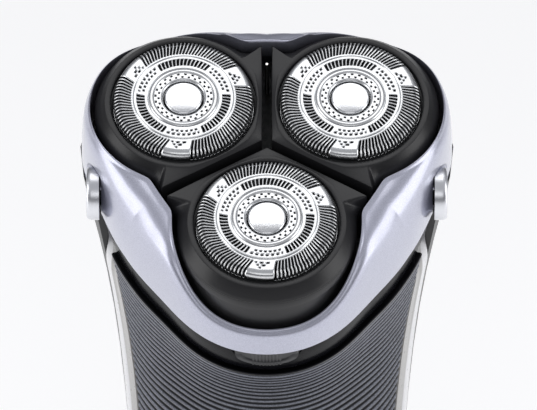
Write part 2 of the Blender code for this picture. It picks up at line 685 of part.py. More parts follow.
def make_drive_plates(head):
    """Deck that closes the handle under the head, and the plate that bears gears and motor."""
    deck = add_piece("drive_deck", plate_mesh(DECK_BOTTOM, DECK_TOP), satin_black(), head)
    cuts, posts, sockets = [], [], []
    for angle in HEAD_NAMES.values():
        centre = head_centre(angle)
        cuts.append(bore_mesh(SPINDLE_RADIUS + 2 * GAP, DECK_BOTTOM, DECK_TOP, 14, centre))
        sockets.append(bore_mesh(SPINDLE_FOOT_RADIUS + GAP, PLATE_BOTTOM, PLATE_TOP, 12, centre))
    for centre in SCREW_PLACES:
        cuts.append(bore_mesh(SCREW_RADIUS + GAP, DECK_BOTTOM, DECK_TOP, 12, centre))
        post = ((POST_RADIUS, PLATE_TOP - GAP), (POST_RADIUS, DECK_BOTTOM - GAP))
        posts.append(turned_mesh(post, 14, centre))
        sockets.append(bore_mesh(SCREW_RADIUS + GAP, PLATE_TOP, DECK_BOTTOM, 12, centre))
    release_front = -(HEAD_RADIUS + COLLAR_LOBE)
    notch = box_mesh(
        (-RELEASE_WIDTH / 2 - 2 * GAP, 2 * release_front, DECK_BOTTOM - 1 * MM),
        (RELEASE_WIDTH / 2 + 2 * GAP, release_front + RELEASE_DEPTH + RELEASE_TRAVEL + GAP, DECK_TOP + 1 * MM),
    )
    boolean(deck, "DIFFERENCE", merged(*cuts, notch), head)

    plate = add_piece("gear_plate", plate_mesh(PLATE_BOTTOM, PLATE_TOP), grey_plastic(), head)
    boolean(plate, "UNION", merged(*posts), head)
    shaft_hole = bore_mesh(SHAFT_HOLE, PLATE_BOTTOM, PLATE_TOP, 12)
    boolean(plate, "DIFFERENCE", merged(*sockets, shaft_hole), head)

    for number, centre in enumerate(SCREW_PLACES, 1):
        head_z = DECK_TOP + GAP
        profile = (
            (SCREW_RADIUS - 0.15 * MM, PLATE_TOP + 0.4 * MM),
            (SCREW_RADIUS - 0.15 * MM, head_z),
            (SCREW_HEAD_RADIUS, head_z),
            (SCREW_HEAD_RADIUS, head_z + 0.3 * MM),
            (SCREW_HEAD_RADIUS - 0.5 * MM, head_z + SCREW_HEAD),
        )
        screw = turned_mesh(profile, 12, centre)
        add_piece(f"deck_screw_{number}", screw, steel(), head, (*centre, head_z))


def make_motor(head):
    """Motor can under the gear plate, its shaft, and the pinion on the shaft."""
    top = PLATE_BOTTOM - GAP
    bottom = top - MOTOR_LENGTH
    bore, chamfer = SHAFT_RADIUS + GAP, 1 * MM
    profile = (
        (MOTOR_RADIUS - chamfer, bottom), (MOTOR_RADIUS, bottom + chamfer),
        (MOTOR_RADIUS, top), (bore, top), (bore, top - SHAFT_SEAT),
    )
    add_piece("motor", turned_mesh(profile, 28), steel(), head)
    shaft = turned_mesh(((SHAFT_RADIUS, top - SHAFT_SEAT + GAP), (SHAFT_RADIUS, GEAR_TOP)), 10)
    add_piece("motor_shaft", shaft, steel(), head, (0, 0, GEAR_TOP))
    pinion = prism_mesh(gear_outline(PINION_TEETH, 3, 0.0), GEAR_BOTTOM, GEAR_TOP)
    bored = add_piece("motor_pinion", pinion, white_plastic(), head)
    boolean(bored, "DIFFERENCE", bore_mesh(SHAFT_RADIUS + GAP, GEAR_BOTTOM, GEAR_TOP, 12), head)


def gear_outline(teeth, flank_points, turn):
    """Involute spur gear outline about the origin; the first tooth points at the given angle."""
    pitch = MODULE * teeth / 2
    pressure = math.radians(20)
    base = pitch * math.cos(pressure)
    root, tip = pitch - 1.25 * MODULE, pitch + 0.9 * MODULE
    radius = np.linspace(root, tip, flank_points)
    lean = np.arccos(np.clip(base / np.maximum(radius, base), 0, 1))
    half_tooth = math.pi / (2 * teeth) - GEAR_BACKLASH / (2 * pitch)
    half = half_tooth + (math.tan(pressure) - pressure) - (np.tan(lean) - lean)
    one_tooth = np.concatenate([-half, half[::-1]])
    reach = np.concatenate([radius, radius[::-1]])
    pitch_angle = 2 * math.pi * np.arange(teeth)[:, None] / teeth
    angle = (turn + pitch_angle + one_tooth).ravel()
    reach = np.tile(reach, teeth)
    return np.column_stack([reach * np.cos(angle), reach * np.sin(angle)])


def mesh_turn(angle):
    """Angle of a driven gear's tooth so that a gap faces the pinion's tooth on the centre line.

    The pinion has a tooth at angle 0. Its nearest tooth to the direction of this gear lies off by
    some part of a pitch, and the gear's gap is off by the same arc the other way round.
    """
    pitch = 2 * math.pi / PINION_TEETH
    off = (angle + pitch / 2) % pitch - pitch / 2
    facing = angle + math.pi
    return facing + off * PINION_TEETH / GEAR_TEETH + math.pi / GEAR_TEETH


def make_gears(head):
    """Three driven gears round the pinion, each on the spindle that turns its cutter."""
    for name, angle in HEAD_NAMES.items():
        centre = head_centre(angle)
        outline = gear_outline(GEAR_TEETH, 2, mesh_turn(angle)) + centre
        gear = add_piece(f"drive_gear_{name}", prism_mesh(outline, GEAR_BOTTOM, GEAR_TOP),
                         white_plastic(), head, (*centre, GEAR_TOP))
        bore = bore_mesh(SPINDLE_RADIUS + GAP, GEAR_BOTTOM, GEAR_TOP, 12, centre)
        boolean(gear, "DIFFERENCE", bore, head)
        profile = (
            (SPINDLE_FOOT_RADIUS, PLATE_BOTTOM + 0.2 * MM), (SPINDLE_FOOT_RADIUS, PLATE_TOP + GAP),
            (SPINDLE_RADIUS, PLATE_TOP + GAP), (SPINDLE_RADIUS, -SPINDLE_TOP - 4.2 * MM),
            (SPINDLE_TIP_RADIUS, -SPINDLE_TOP - 3.8 * MM), (SPINDLE_TIP_RADIUS, -SPINDLE_TOP - 0.3 * MM),
            (SPINDLE_TIP_RADIUS - 0.3 * MM, -SPINDLE_TOP),
        )
        add_piece(f"spindle_{name}", turned_mesh(profile, 10, centre), grey_plastic(), head,
                  (*centre, GEAR_TOP))


# ---- controls ----


def make_controls(head):
    """On/off button in its bezel, charge light, and the button that releases the head."""
    front = front_surface_y(BUTTON_HEIGHT)
    depth = BUTTON_DEPTH
    ring = [(BUTTON_RADIUS + GAP, 0), (BEZEL_RADIUS - 0.6 * MM, 0), (BEZEL_RADIUS, 0.6 * MM),
            (BEZEL_RADIUS, depth), (BUTTON_RADIUS + GAP, depth)]
    angle = np.linspace(0, 2 * math.pi, 32, endpoint=False)
    loops = [np.stack([r * np.cos(angle), np.full(32, front - 0.8 * MM + y),
                       BUTTON_HEIGHT + r * np.sin(angle)], -1) for r, y in ring]
    add_piece("button_bezel", ring_mesh(loops), chrome())
    press = [(1.5 * MM, -0.9 * MM), (BUTTON_RADIUS - 1.2 * MM, -0.6 * MM), (BUTTON_RADIUS, 0),
             (BUTTON_RADIUS, depth - 1.4 * MM), (2 * MM, depth - 1.4 * MM)]
    stem_end = BOARD_Y0 - GAP - SWITCH_DEPTH - BUTTON_TRAVEL - GAP
    loops = [np.stack([r * np.cos(angle[::2]), np.full(16, front - 0.2 * MM + y),
                       BUTTON_HEIGHT + r * np.sin(angle[::2])], -1) for r, y in press]
    loops.append(loops[-1] * (1, 0, 1) + (0, stem_end, 0))
    add_piece("power_button", capped_mesh(loops), gloss_black(), None, (0, front, BUTTON_HEIGHT))
    glow = front_surface_y(LENS_HEIGHT)
    lens = button_rod(LENS_RADIUS, glow - 0.1 * MM, glow + SHELL_WALL, LENS_HEIGHT, 12)
    add_piece("charge_light", lens, lens_clear())
    front = -(HEAD_RADIUS + COLLAR_LOBE)
    add_piece("release_button", release_mesh(), gloss_black(), head, (0, front, -COLLAR_DEPTH))


# ---- head unit ----


def angle_from(phi, middle):
    """Angle from a direction, in degrees either way round."""
    return np.degrees(np.mod(phi - math.radians(middle) + math.pi, 2 * math.pi) - math.pi)


def collar_top(phi):
    """Height of the collar's inner rim: high at the notches, dipping before the front head."""
    front_dip = np.exp(-((angle_from(phi, -90) / 31) ** 4))
    lobe_dip = np.exp(-(((np.abs(angle_from(phi, 90)) - 38) / 15) ** 2))
    notch_rise = 0.6 * MM * np.cos(3 * (phi - math.radians(90)))
    dip = (COLLAR_FRONT_DIP - COLLAR_TOP) * front_dip + COLLAR_LOBE_DIP * lobe_dip
    return notch_rise - COLLAR_TOP - dip


def collar_rows(phi):
    """Corners of the collar's section at each angle, from the inner foot over the crest outwards."""
    inner = trefoil(phi, HOLDER_LOBE + COLLAR_CLEARANCE, HOLDER_NOTCH_RADIUS + COLLAR_CLEARANCE)
    outer = trefoil(phi, COLLAR_LOBE, COLLAR_NOTCH_RADIUS, COLLAR_BLEND)
    top = collar_top(phi)
    foot = -COLLAR_DEPTH
    width = outer - inner
    rows = [(inner, top)]
    backness = np.clip((np.sin(phi) + 0.3) / 0.9, 0, 1)
    slope = COLLAR_FULL + (COLLAR_SLACK - COLLAR_FULL) * backness**2 * (3 - 2 * backness)
    for turn in (20, 40, 62, 90):
        t = math.radians(turn)
        rows.append((inner + width * math.sin(t) ** slope, top + (foot - top) * (1 - math.cos(t))))
    under = np.minimum(COLLAR_WALL, 0.62 * width)
    rows.append((outer - under, foot))
    rows.append((inner + np.maximum(width - 1.5 * under, 0.0) * 0.55, top * 0.5 + foot * 0.5))
    rows.append((inner, top * 0.72 + foot * 0.28))
    return rows


def collar_inside(phi, z):
    """Radius of the collar's inner wall near its foot."""
    (r0, z0), (r1, z1) = collar_rows(phi)[5:7]
    return r0 + (r1 - r0) * (z - z0) / (z1 - z0)


def make_collar(head):
    """Silver collar round the three holders, with its hinge knuckle at the back."""
    phi = np.linspace(0, 2 * math.pi, 60, endpoint=False)
    loops = [np.stack([r * np.cos(phi), r * np.sin(phi), np.broadcast_to(z, phi.shape)], -1)
             for r, z in collar_rows(phi)]
    collar = add_piece("head_collar", ring_mesh(loops), silver_lacquer(), head)
    near = HINGE_WIDTH / 2
    far = near + EAR_OF_HINGE + 2 * GAP
    boolean(collar, "DIFFERENCE", merged(hinge_room_mesh(-far, -near), hinge_room_mesh(near, far)), head)
    boolean(collar, "UNION", hinge_room_mesh(-near, near, 0), head)
    pockets = [rod_mesh((side * (EAR_X - GAP), EAR_Y, EAR_Z), (side * 60 * MM, EAR_Y, EAR_Z),
                        EAR_RADIUS + GAP, 28) for side in (-1, 1)]
    boolean(collar, "DIFFERENCE", merged(hinge_bore_mesh(), *pockets), head)
    reach = HINGE_WIDTH / 2 + EAR_OF_HINGE
    pin = rod_mesh((-reach, HINGE_Y, HINGE_Z), (reach, HINGE_Y, HINGE_Z), HINGE_PIN_RADIUS)
    add_piece("hinge_pin", pin, steel(), head, (0, HINGE_Y, HINGE_Z))


def make_ears(head):
    """Chromed oval plates let into the collar's cheeks, flat along the neck joint."""
    for name, side in (("left", -1), ("right", 1)):
        angle = np.linspace(0, 2 * math.pi, 28, endpoint=False)
        loops = []
        for out, radius in ((0, 1.0), (0.75, 1.0), (1.0, 0.86), (0.8, 0.74), (0.92, 0.5)):
            y = EAR_Y + EAR_RADIUS * radius * np.cos(angle)
            z = np.maximum(EAR_Z + EAR_RADIUS * radius * np.sin(angle), -COLLAR_DEPTH + 0.1 * MM)
            x = np.full(28, side * (EAR_X + out * EAR_THICKNESS))
            loops.append(np.stack([x, y, z], -1))
        add_piece(f"side_ear_{name}", capped_mesh(loops), chrome(), head)


def tangent_point(angle, along, z):
    """A point beside a head centre, measured along the tangent of the circle of head centres."""
    x, y = head_centre(angle)
    return (x - along * math.sin(angle), y + along * math.cos(angle), z)


def make_head_frame(head):
    """Frame plate under the holders, with a pair of bored posts for each holder's pivots."""
    outline = outline_loop(lambda phi: collar_inside(phi, FRAME_TOP) - 2 * GAP, FRAME_BOTTOM)
    plate = capped_mesh([outline, outline + (0, 0, FRAME_PLATE)])
    frame = add_piece("head_frame", plate, satin_black(), head)
    posts, cuts = [], []
    for angle in HEAD_NAMES.values():
        radial = np.array([math.cos(angle), math.sin(angle), 0]) * POST_DEPTH / 2
        for side in (-1, 1):
            ends = [np.array(tangent_point(angle, side * reach, 0)) for reach in (POST_IN, POST_OUT)]
            floor = np.array([ends[0] - radial, ends[0] + radial, ends[1] + radial, ends[1] - radial])
            low, high = (0, 0, FRAME_TOP - GAP), (0, 0, TILT_AXIS_Z + 2.2 * PIVOT_RADIUS + GAP)
            posts.append(capped_mesh([floor + low, floor + high]))
        cuts.append(rod_mesh(tangent_point(angle, -POST_OUT - 1 * MM, TILT_AXIS_Z),
                             tangent_point(angle, POST_OUT + 1 * MM, TILT_AXIS_Z), PIVOT_RADIUS + GAP, 10))
        cuts.append(bore_mesh(HUB_HOLE, FRAME_BOTTOM, FRAME_TOP, 20, head_centre(angle)))
    boolean(frame, "UNION", merged(*posts), head)
    hinge_room = HINGE_WIDTH / 2 + EAR_OF_HINGE + 2 * GAP
    cuts.append(hinge_room_mesh(-hinge_room, hinge_room, 2 * GAP))
    boolean(frame, "DIFFERENCE", merged(*cuts), head)
    stud = ((0.35 * MM, FRAME_TOP + GAP), (0.35 * MM, -2.2 * MM), (0.25 * MM, -1.7 * MM))
    place = (0, HEAD_RADIUS)
    add_piece("centre_stud", turned_mesh(stud, 10, place), steel(), head)


def holder_outline(angle):
    """Outline of one holder, and how far each point is from its outer edge, as a share."""
    limit = math.radians(60) - math.asin(SLIT / 2 / HOLDER_NOTCH_RADIUS)
    psi = np.linspace(-limit, limit, 21)
    radius = trefoil(psi + math.radians(30), HOLDER_LOBE, HOLDER_NOTCH_RADIUS)
    arc = np.stack([radius * np.cos(psi), radius * np.sin(psi)], -1)
    inner = np.array([SLIT / 2 / math.sin(math.radians(60)), 0])
    share = np.linspace(0, 1, 6)[1:, None]
    back = arc[-1] + (inner - arc[-1]) * share
    forth = inner + (arc[0] - inner) * share[:-1]
    points = np.concatenate([arc, back, forth])
    edge = np.concatenate([np.ones(len(arc)), np.zeros(len(back) + len(forth))])
    turned = np.array([[math.cos(angle), -math.sin(angle)], [math.sin(angle), math.cos(angle)]])
    return points @ turned.T, edge


def make_holder(head, name, angle):
    """Black lobe that carries a cap: a skirted ring, with two pivot pins inside its skirt."""
    outline, edge = holder_outline(angle)
    centre = np.array(head_centre(angle))
    ray = outline - centre
    reach = np.linalg.norm(ray, axis=1)
    unit = ray / reach[:, None]
    crease = np.minimum(CAP_RADIUS + 1.9 * MM, HOLE_RADIUS + 0.45 * (reach - HOLE_RADIUS))
    brim = crease + 0.6 * (reach - crease)
    wall = np.maximum(reach - HOLDER_WALL, HOLE_RADIUS)
    lip = CAP_RADIUS + GAP
    sections = (
        (HOLE_RADIUS, -HOLDER_TOP), (lip, -2.6 * MM), (lip, -CAP_SHOULDER + GAP),
        (wall, -CAP_SHOULDER + GAP), (wall, -HOLDER_DEPTH), (reach, -HOLDER_DEPTH),
        (reach, -HOLDER_TOP - 0.6 * MM - 1.7 * MM * edge),
        (brim, -HOLDER_TOP - 0.2 * MM - 1.1 * MM * edge),
        (crease, -HOLDER_TOP),
    )
    loops = []
    for radius, z in sections:
        flat = centre + unit * np.broadcast_to(radius, reach.shape)[:, None]
        loops.append(np.column_stack([flat, np.broadcast_to(z, reach.shape)]))
    origin = (*centre, TILT_AXIS_Z)
    holder = add_piece(f"holder_{name}", ring_mesh(loops), satin_black(), head, origin)
    pins = []
    for side in (-1, 1):
        start = tangent_point(angle, side * (POST_IN + 0.4 * MM), TILT_AXIS_Z)
        end = tangent_point(angle, side * (HOLDER_LOBE - HOLDER_WALL / 2), TILT_AXIS_Z)
        pins.append(rod_mesh(start, end, PIVOT_RADIUS, 8))
    boolean(holder, "UNION", merged(*pins), head)
    top = -CAP_DEPTH - CAP_TRAVEL - GAP
    inner, outer = CAP_RADIUS - 2.6 * MM, HOLE_RADIUS - GAP - 0.05 * MM
    ring = ((inner, top), (outer, top), (outer, top - 1.3 * MM), (inner, top - 1.3 * MM))
    add_piece(f"retaining_ring_{name}", turned_mesh(ring, 28, centre, hollow=True), grey_plastic(),
              head, origin)


def make_cap(head, name, angle):
    """Drawn steel cap with a flange at its foot, and the polished disc in its centre."""
    centre = head_centre(angle)
    recess = CAP_DISC_RADIUS + 0.5 * MM
    inside = CAP_RADIUS - CAP_SKIN
    profile = (
        (0.6 * MM, -DISC_RECESS), (recess, -DISC_RECESS), (recess + 0.2 * MM, 0),
        (CAP_RADIUS - 1.1 * MM, 0), (CAP_RADIUS, -1.1 * MM), (CAP_RADIUS, -CAP_SHOULDER),
        (CAP_RADIUS + CAP_FLANGE, -CAP_SHOULDER), (CAP_RADIUS + CAP_FLANGE, -CAP_DEPTH),
        (inside, -CAP_DEPTH), (inside, -1.4 * MM), (inside - 0.8 * MM, -CAP_SKIN),
        (recess + 0.8 * MM, -CAP_SKIN), (recess + 0.6 * MM, -DISC_RECESS - 0.5 * MM),
        (0.6 * MM, -DISC_RECESS - 0.5 * MM),
    )
    add_piece(f"shaving_cap_{name}", turned_mesh(profile, 24, centre), steel(), head, (*centre, 0))
    floor = -DISC_RECESS + GAP
    dome = ((CAP_DISC_RADIUS, floor), (CAP_DISC_RADIUS, 0), (CAP_DISC_RADIUS - 0.5 * MM, 0.2 * MM),
            (0.5 * CAP_DISC_RADIUS, 0.38 * MM), (0.15 * CAP_DISC_RADIUS, 0.42 * MM))
    add_piece(f"cap_disc_{name}", turned_mesh(dome, 20, centre), chrome(), head, (*centre, 0))


def make_cutter(head, name, angle):
    """Rotary cutter: a disc with a ring of blades and a hub that takes the spindle's tip."""
    centre = head_centre(angle)
    disc_top = -DISC_RECESS - 0.5 * MM - 0.5 * MM
    profile = (
        (0.4 * MM, disc_top), (CUTTER_INNER + 0.4 * MM, disc_top),
        (CUTTER_INNER + 0.4 * MM, disc_top - 1.2 * MM),
        (HUB_RADIUS, disc_top - 1.2 * MM), (HUB_RADIUS, -HUB_DEPTH), (HUB_BORE, -HUB_DEPTH),
        (HUB_BORE, -SPINDLE_TOP + CAP_TRAVEL + 2 * GAP), (0.4 * MM, -SPINDLE_TOP + CAP_TRAVEL + 2 * GAP),
    )
    cutter = add_piece(f"cutter_{name}", turned_mesh(profile, 20, centre), steel(), head, (*centre, 0))
    blades = []
    for number in range(CUTTER_BLADES):
        turn = 2 * math.pi * number / CUTTER_BLADES
        along = np.array([math.cos(turn), math.sin(turn)])
        across = np.array([-along[1], along[0]]) * CUTTER_BLADE / 2
        near, far = along * (CUTTER_INNER - 0.5 * MM), along * CUTTER_OUTER
        floor = np.array([near - across, far - across, far + across, near + across]) + centre
        blades.append(prism_mesh(floor, disc_top - 0.9 * MM, -CAP_SKIN - GAP))
    boolean(cutter, "UNION", merged(*blades), head)


# ---- trimmer ----


def comb_outline(half, bottom, top, teeth, depth):
    """Plate outline in x and z with a row of teeth along its lower edge."""
    pitch = 2 * half / teeth
    x = -half + pitch * (np.arange(teeth)[:, None] + np.array([0.0, 0.22, 0.5, 0.78]))
    z = bottom + depth * np.broadcast_to([1.0, 0.0, 0.0, 1.0], x.shape)
    lower = np.column_stack([x.ravel(), z.ravel()])
    return np.concatenate([lower, [(half, bottom + depth), (half, top), (-half, top)]])


def upright_plate(outline, y0, y1):
    first = np.column_stack([outline[:, 0], np.full(len(outline), y0), outline[:, 1]])
    return capped_mesh([first, first + (0, y1 - y0, 0)])


def make_trimmer():
    """Long-hair trimmer that swings out of a tray in the back, and the slide that frees it."""
    face = TRIMMER_Y + 0.6 * MM
    floor = face - TRAY_DEPTH
    tray = add_piece("trimmer_tray", box_mesh((-TRAY_HALF_WIDTH, floor - TRAY_WALL, TRAY_BOTTOM),
                                              (TRAY_HALF_WIDTH, face, TRAY_TOP)), satin_black())
    bottom = TRAY_BOTTOM + TRAY_WALL
    room = box_mesh((-TRAY_HALF_WIDTH + TRAY_WALL, floor, bottom),
                    (TRAY_HALF_WIDTH - TRAY_WALL, face + 9 * MM, TRAY_TOP - TRAY_WALL))
    boolean(tray, "DIFFERENCE", room)
    pin_reach = TRAY_HALF_WIDTH - 0.4 * MM
    holes = rod_mesh((-pin_reach - 3 * MM, TRIMMER_AXIS_Y, TRIMMER_TOP),
                     (pin_reach + 3 * MM, TRIMMER_AXIS_Y, TRIMMER_TOP), TRIMMER_PIN + GAP)
    boolean(tray, "DIFFERENCE", holes)
    pin = rod_mesh((-pin_reach, TRIMMER_AXIS_Y, TRIMMER_TOP), (pin_reach, TRIMMER_AXIS_Y, TRIMMER_TOP),
                   TRIMMER_PIN)
    add_piece("trimmer_pin", pin, steel(), None, (0, TRIMMER_AXIS_Y, TRIMMER_TOP))

    low = TRIMMER_TOP - TRIMMER_LENGTH
    half = TRIMMER_HALF_WIDTH
    crown = TRIMMER_TOP + 1.7 * MM
    back, front = TRIMMER_AXIS_Y - 1.7 * MM, face + 0.6 * MM
    shelf = back + 2.8 * MM
    step = low + 0.5 * TRIMMER_LENGTH
    side = [(back, low + 3 * MM), (shelf, low + 3 * MM), (shelf, step), (front, step + 1.2 * MM),
            (front - 0.5 * MM, TRIMMER_TOP - 1 * MM), (TRIMMER_AXIS_Y + 1.2 * MM, crown),
            (TRIMMER_AXIS_Y - 1 * MM, crown), (back, crown - 1 * MM)]
    first = np.column_stack([np.full(len(side), -half), side])
    arm = add_piece("trimmer_arm", capped_mesh([first, first + (2 * half, 0, 0)]), satin_black(), None,
                    (0, TRIMMER_AXIS_Y, TRIMMER_TOP))
    bore = rod_mesh((-half - 1 * MM, TRIMMER_AXIS_Y, TRIMMER_TOP),
                    (half + 1 * MM, TRIMMER_AXIS_Y, TRIMMER_TOP), TRIMMER_PIN + GAP)
    boolean(arm, "DIFFERENCE", bore)
    comb_y = shelf + GAP
    comb = comb_outline(half - 1.6 * MM, low, step - GAP, 19, 2.2 * MM)
    add_piece("trimmer_comb", upright_plate(comb, comb_y, comb_y + COMB_THICKNESS), steel(), None,
              (0, TRIMMER_AXIS_Y, TRIMMER_TOP))
    blade_y = comb_y + COMB_THICKNESS + GAP
    blade = comb_outline(half - 3.2 * MM, low + 0.5 * MM, step - 2 * MM, 16, 2.0 * MM)
    add_piece("trimmer_blade", upright_plate(blade, blade_y, blade_y + BLADE_THICKNESS), steel(), None,
              (0, blade_y, low))

    outside = rear_surface_y(SLIDE_BOTTOM) + SLIDE_RISE * GAP
    inside = outside - SHELL_WALL - 2.2 * GAP
    outline = np.array([
        (-SLIDE_HALF, outside + GAP), (-SLIDE_STEM, outside + GAP), (-SLIDE_STEM, inside - GAP),
        (-SLIDE_FLANGE, inside - GAP), (-SLIDE_FLANGE, inside - 1.4 * MM),
        (SLIDE_FLANGE, inside - 1.4 * MM),
        (SLIDE_FLANGE, inside - GAP), (SLIDE_STEM, inside - GAP), (SLIDE_STEM, outside + GAP),
        (SLIDE_HALF, outside + GAP), (SLIDE_HALF - 0.8 * MM, outside + 1.9 * MM),
        (-SLIDE_HALF + 0.8 * MM, outside + 1.9 * MM),
    ])
    floor = np.column_stack([outline, np.full(len(outline), SLIDE_BOTTOM)])
    slide = capped_mesh([floor, floor + (0, SLIDE_RISE * SLIDE_LENGTH, SLIDE_LENGTH)])
    add_piece("trimmer_slide", slide, satin_black(), None, (0, outside, SLIDE_BOTTOM))


def main():
    for piece in list(bpy.data.objects):
        bpy.data.objects.remove(piece, do_unlink=True)
    head = datum("head_datum", head_to_world(0, 0, 0), HEAD_TILT)
    make_rear_shell(head)
    make_front_grip()
    make_side_strips()
    make_neck_band(head)
    make_base()
    make_inner_frame()
    make_drive_plates(head)
    make_motor(head)
    make_gears(head)
    make_controls(head)
    make_collar(head)
    make_ears(head)
    make_head_frame(head)
    for name, angle in HEAD_NAMES.items():
        make_holder(head, name, angle)
        make_cap(head, name, angle)
        make_cutter(head, name, angle)
    make_trimmer()


main()
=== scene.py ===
import bmesh
import bpy
import math
import numpy as np
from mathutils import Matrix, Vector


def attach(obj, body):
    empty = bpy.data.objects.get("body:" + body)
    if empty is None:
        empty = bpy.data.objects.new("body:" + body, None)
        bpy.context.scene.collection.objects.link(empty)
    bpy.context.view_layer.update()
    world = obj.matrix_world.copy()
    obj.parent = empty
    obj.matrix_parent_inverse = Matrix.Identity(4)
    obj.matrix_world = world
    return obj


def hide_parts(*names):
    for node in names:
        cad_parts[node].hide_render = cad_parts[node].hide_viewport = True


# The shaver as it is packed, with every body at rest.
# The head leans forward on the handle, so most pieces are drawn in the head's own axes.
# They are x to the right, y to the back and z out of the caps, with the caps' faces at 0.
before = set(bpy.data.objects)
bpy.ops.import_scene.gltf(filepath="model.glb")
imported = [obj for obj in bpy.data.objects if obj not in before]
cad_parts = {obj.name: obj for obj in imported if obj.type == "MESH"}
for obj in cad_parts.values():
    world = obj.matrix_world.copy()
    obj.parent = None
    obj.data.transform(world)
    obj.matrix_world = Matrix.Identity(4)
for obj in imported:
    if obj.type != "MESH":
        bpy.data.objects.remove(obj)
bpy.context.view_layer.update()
MM = 0.001
LEAN = math.radians(20)
NECK = (0.0, -11.7061 * MM, 136.9905 * MM)
FACE_HEIGHT = 16.5 * MM


def in_head(points):
    """Head axes to world: turned about x by the lean, then set down on the neck's centre."""
    x, y, z = np.moveaxis(np.asarray(points, float), -1, 0)
    up = z + FACE_HEIGHT
    cos, sin = math.cos(LEAN), math.sin(LEAN)
    return np.stack([x, NECK[1] + y * cos - up * sin, NECK[2] + y * sin + up * cos], -1)


class Value:
    """A shader socket that takes part in sums, so an expression builds its own Math nodes."""

    def __init__(self, shading, socket):
        self.shading = shading
        self.socket = socket

    def _with(self, operation, other, swapped=False):
        pair = (other, self) if swapped else (self, other)
        return self.shading.node("ShaderNodeMath", {"operation": operation}, {0: pair[0], 1: pair[1]})

    def __add__(self, other):
        return self._with("ADD", other)

    def __radd__(self, other):
        return self._with("ADD", other, True)

    def __rsub__(self, other):
        return self._with("SUBTRACT", other, True)

    def __mul__(self, other):
        return self._with("MULTIPLY", other)

    def __rmul__(self, other):
        return self._with("MULTIPLY", other, True)

    def step(self, start, end):
        """0 below start, 1 above end and a soft ramp between."""
        settings = {"interpolation_type": "SMOOTHSTEP", "clamp": True}
        places = {"Value": self, "From Min": start, "From Max": end}
        return self.shading.node("ShaderNodeMapRange", settings, places)


class Shading:
    """One material being built: its Principled shader and whatever feeds it."""

    def __init__(self, name, **constants):
        self.material = bpy.data.materials.new(name)
        self.material.use_nodes = True
        self.tree = self.material.node_tree
        self.shader = self.tree.nodes["Principled BSDF"]
        for socket, value in constants.items():
            self.shader.inputs[socket.replace("_", " ")].default_value = value

    def node(self, kind, settings=None, sockets=None, output=0):
        """Add a node: its settings first, then the values or links of its sockets."""
        made = self.tree.nodes.new(kind)
        for key, value in (settings or {}).items():
            setattr(made, key, value)
        for key, value in (sockets or {}).items():
            if isinstance(value, Value):
                self.tree.links.new(value.socket, made.inputs[key])
            else:
                made.inputs[key].default_value = value
        return Value(self, made.outputs[output])

    def place(self, output="Object"):
        return self.node("ShaderNodeTexCoord", output=output)

    def stretched(self, vector, scale):
        return self.node("ShaderNodeMapping", sockets={"Vector": vector, "Scale": scale})

    def noise(self, vector, scale, detail=3.0, roughness=0.5):
        values = {"Vector": vector, "Scale": scale, "Detail": detail, "Roughness": roughness}
        return self.node("ShaderNodeTexNoise", sockets=values)

    def scratches(self, vector, scale):
        """Thin lines along the edges of large warped cells, as 1 on a line and 0 off it."""
        values = {"Vector": vector, "Scale": scale}
        edge = self.node("ShaderNodeTexVoronoi", {"feature": "DISTANCE_TO_EDGE"}, values)
        return 1 - edge.step(0.0, 0.012)

    def blend(self, factor, first, second):
        """Colours mixed by a factor."""
        made = self.tree.nodes.new("ShaderNodeMix")
        made.data_type = "RGBA"
        for index, value in ((0, factor), (6, first), (7, second)):
            if isinstance(value, Value):
                self.tree.links.new(value.socket, made.inputs[index])
            else:
                made.inputs[index].default_value = (*value, 1) if index else value
        return Value(self, made.outputs[2])

    def feed(self, **values):
        for name, value in values.items():
            self.tree.links.new(value.socket, self.shader.inputs[name.replace("_", " ")])

    def bump(self, height, distance, strength=1.0):
        values = {"Height": height, "Distance": distance, "Strength": strength}
        self.feed(Normal=self.node("ShaderNodeBump", sockets=values))


def coat(material, *nodes):
    """Give CAD pieces a finish in place of the plain one that they are packed with."""
    for node in nodes:
        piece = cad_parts[node]
        if not piece.material_slots:
            piece.data.materials.append(None)
        for held in piece.material_slots:
            held.material = material


# Works inside the handle: the frame, the gear plate and the drive deck are moulded from
# glass-filled nylon, which is dull, slightly mottled and rough along the flow of the melt.
nylon = Shading("glass_filled_nylon", Specular_IOR_Level=0.4)
spot = nylon.place()
mottle = nylon.noise(spot, 900.0, 4.0)
nylon.feed(Base_Color=nylon.blend(mottle.step(0.35, 0.7), (0.12, 0.125, 0.13), (0.19, 0.195, 0.2)),
           Roughness=0.48 + 0.2 * mottle)
nylon.bump(nylon.noise(nylon.stretched(spot, (1.0, 1.0, 0.2)), 2600.0), 0.00004, 0.6)
coat(nylon.material, "inner_frame", "gear_plate", "drive_deck", "head_frame")
coat(nylon.material, *(f"retaining_ring_{head}" for head in ("front", "left", "right")))
coat(nylon.material, *(f"spindle_{head}" for head in ("front", "left", "right")))

# Gears: hobbed from white acetal, waxy, with faint grease caught between the teeth.
# The three gears and the pinion are pressed and snapped on, with no screws.
acetal = Shading("white_acetal", Subsurface_Weight=0.05, Subsurface_Scale=0.002)
smear = acetal.noise(acetal.place(), 420.0, 4.0)
acetal.feed(Base_Color=acetal.blend(smear.step(0.45, 0.75), (0.78, 0.77, 0.73), (0.55, 0.50, 0.38)),
            Roughness=0.5 - 0.25 * smear.step(0.45, 0.75))
acetal.bump(smear, 0.00002)
coat(acetal.material, "motor_pinion", *(f"drive_gear_{head}" for head in ("front", "left", "right")))

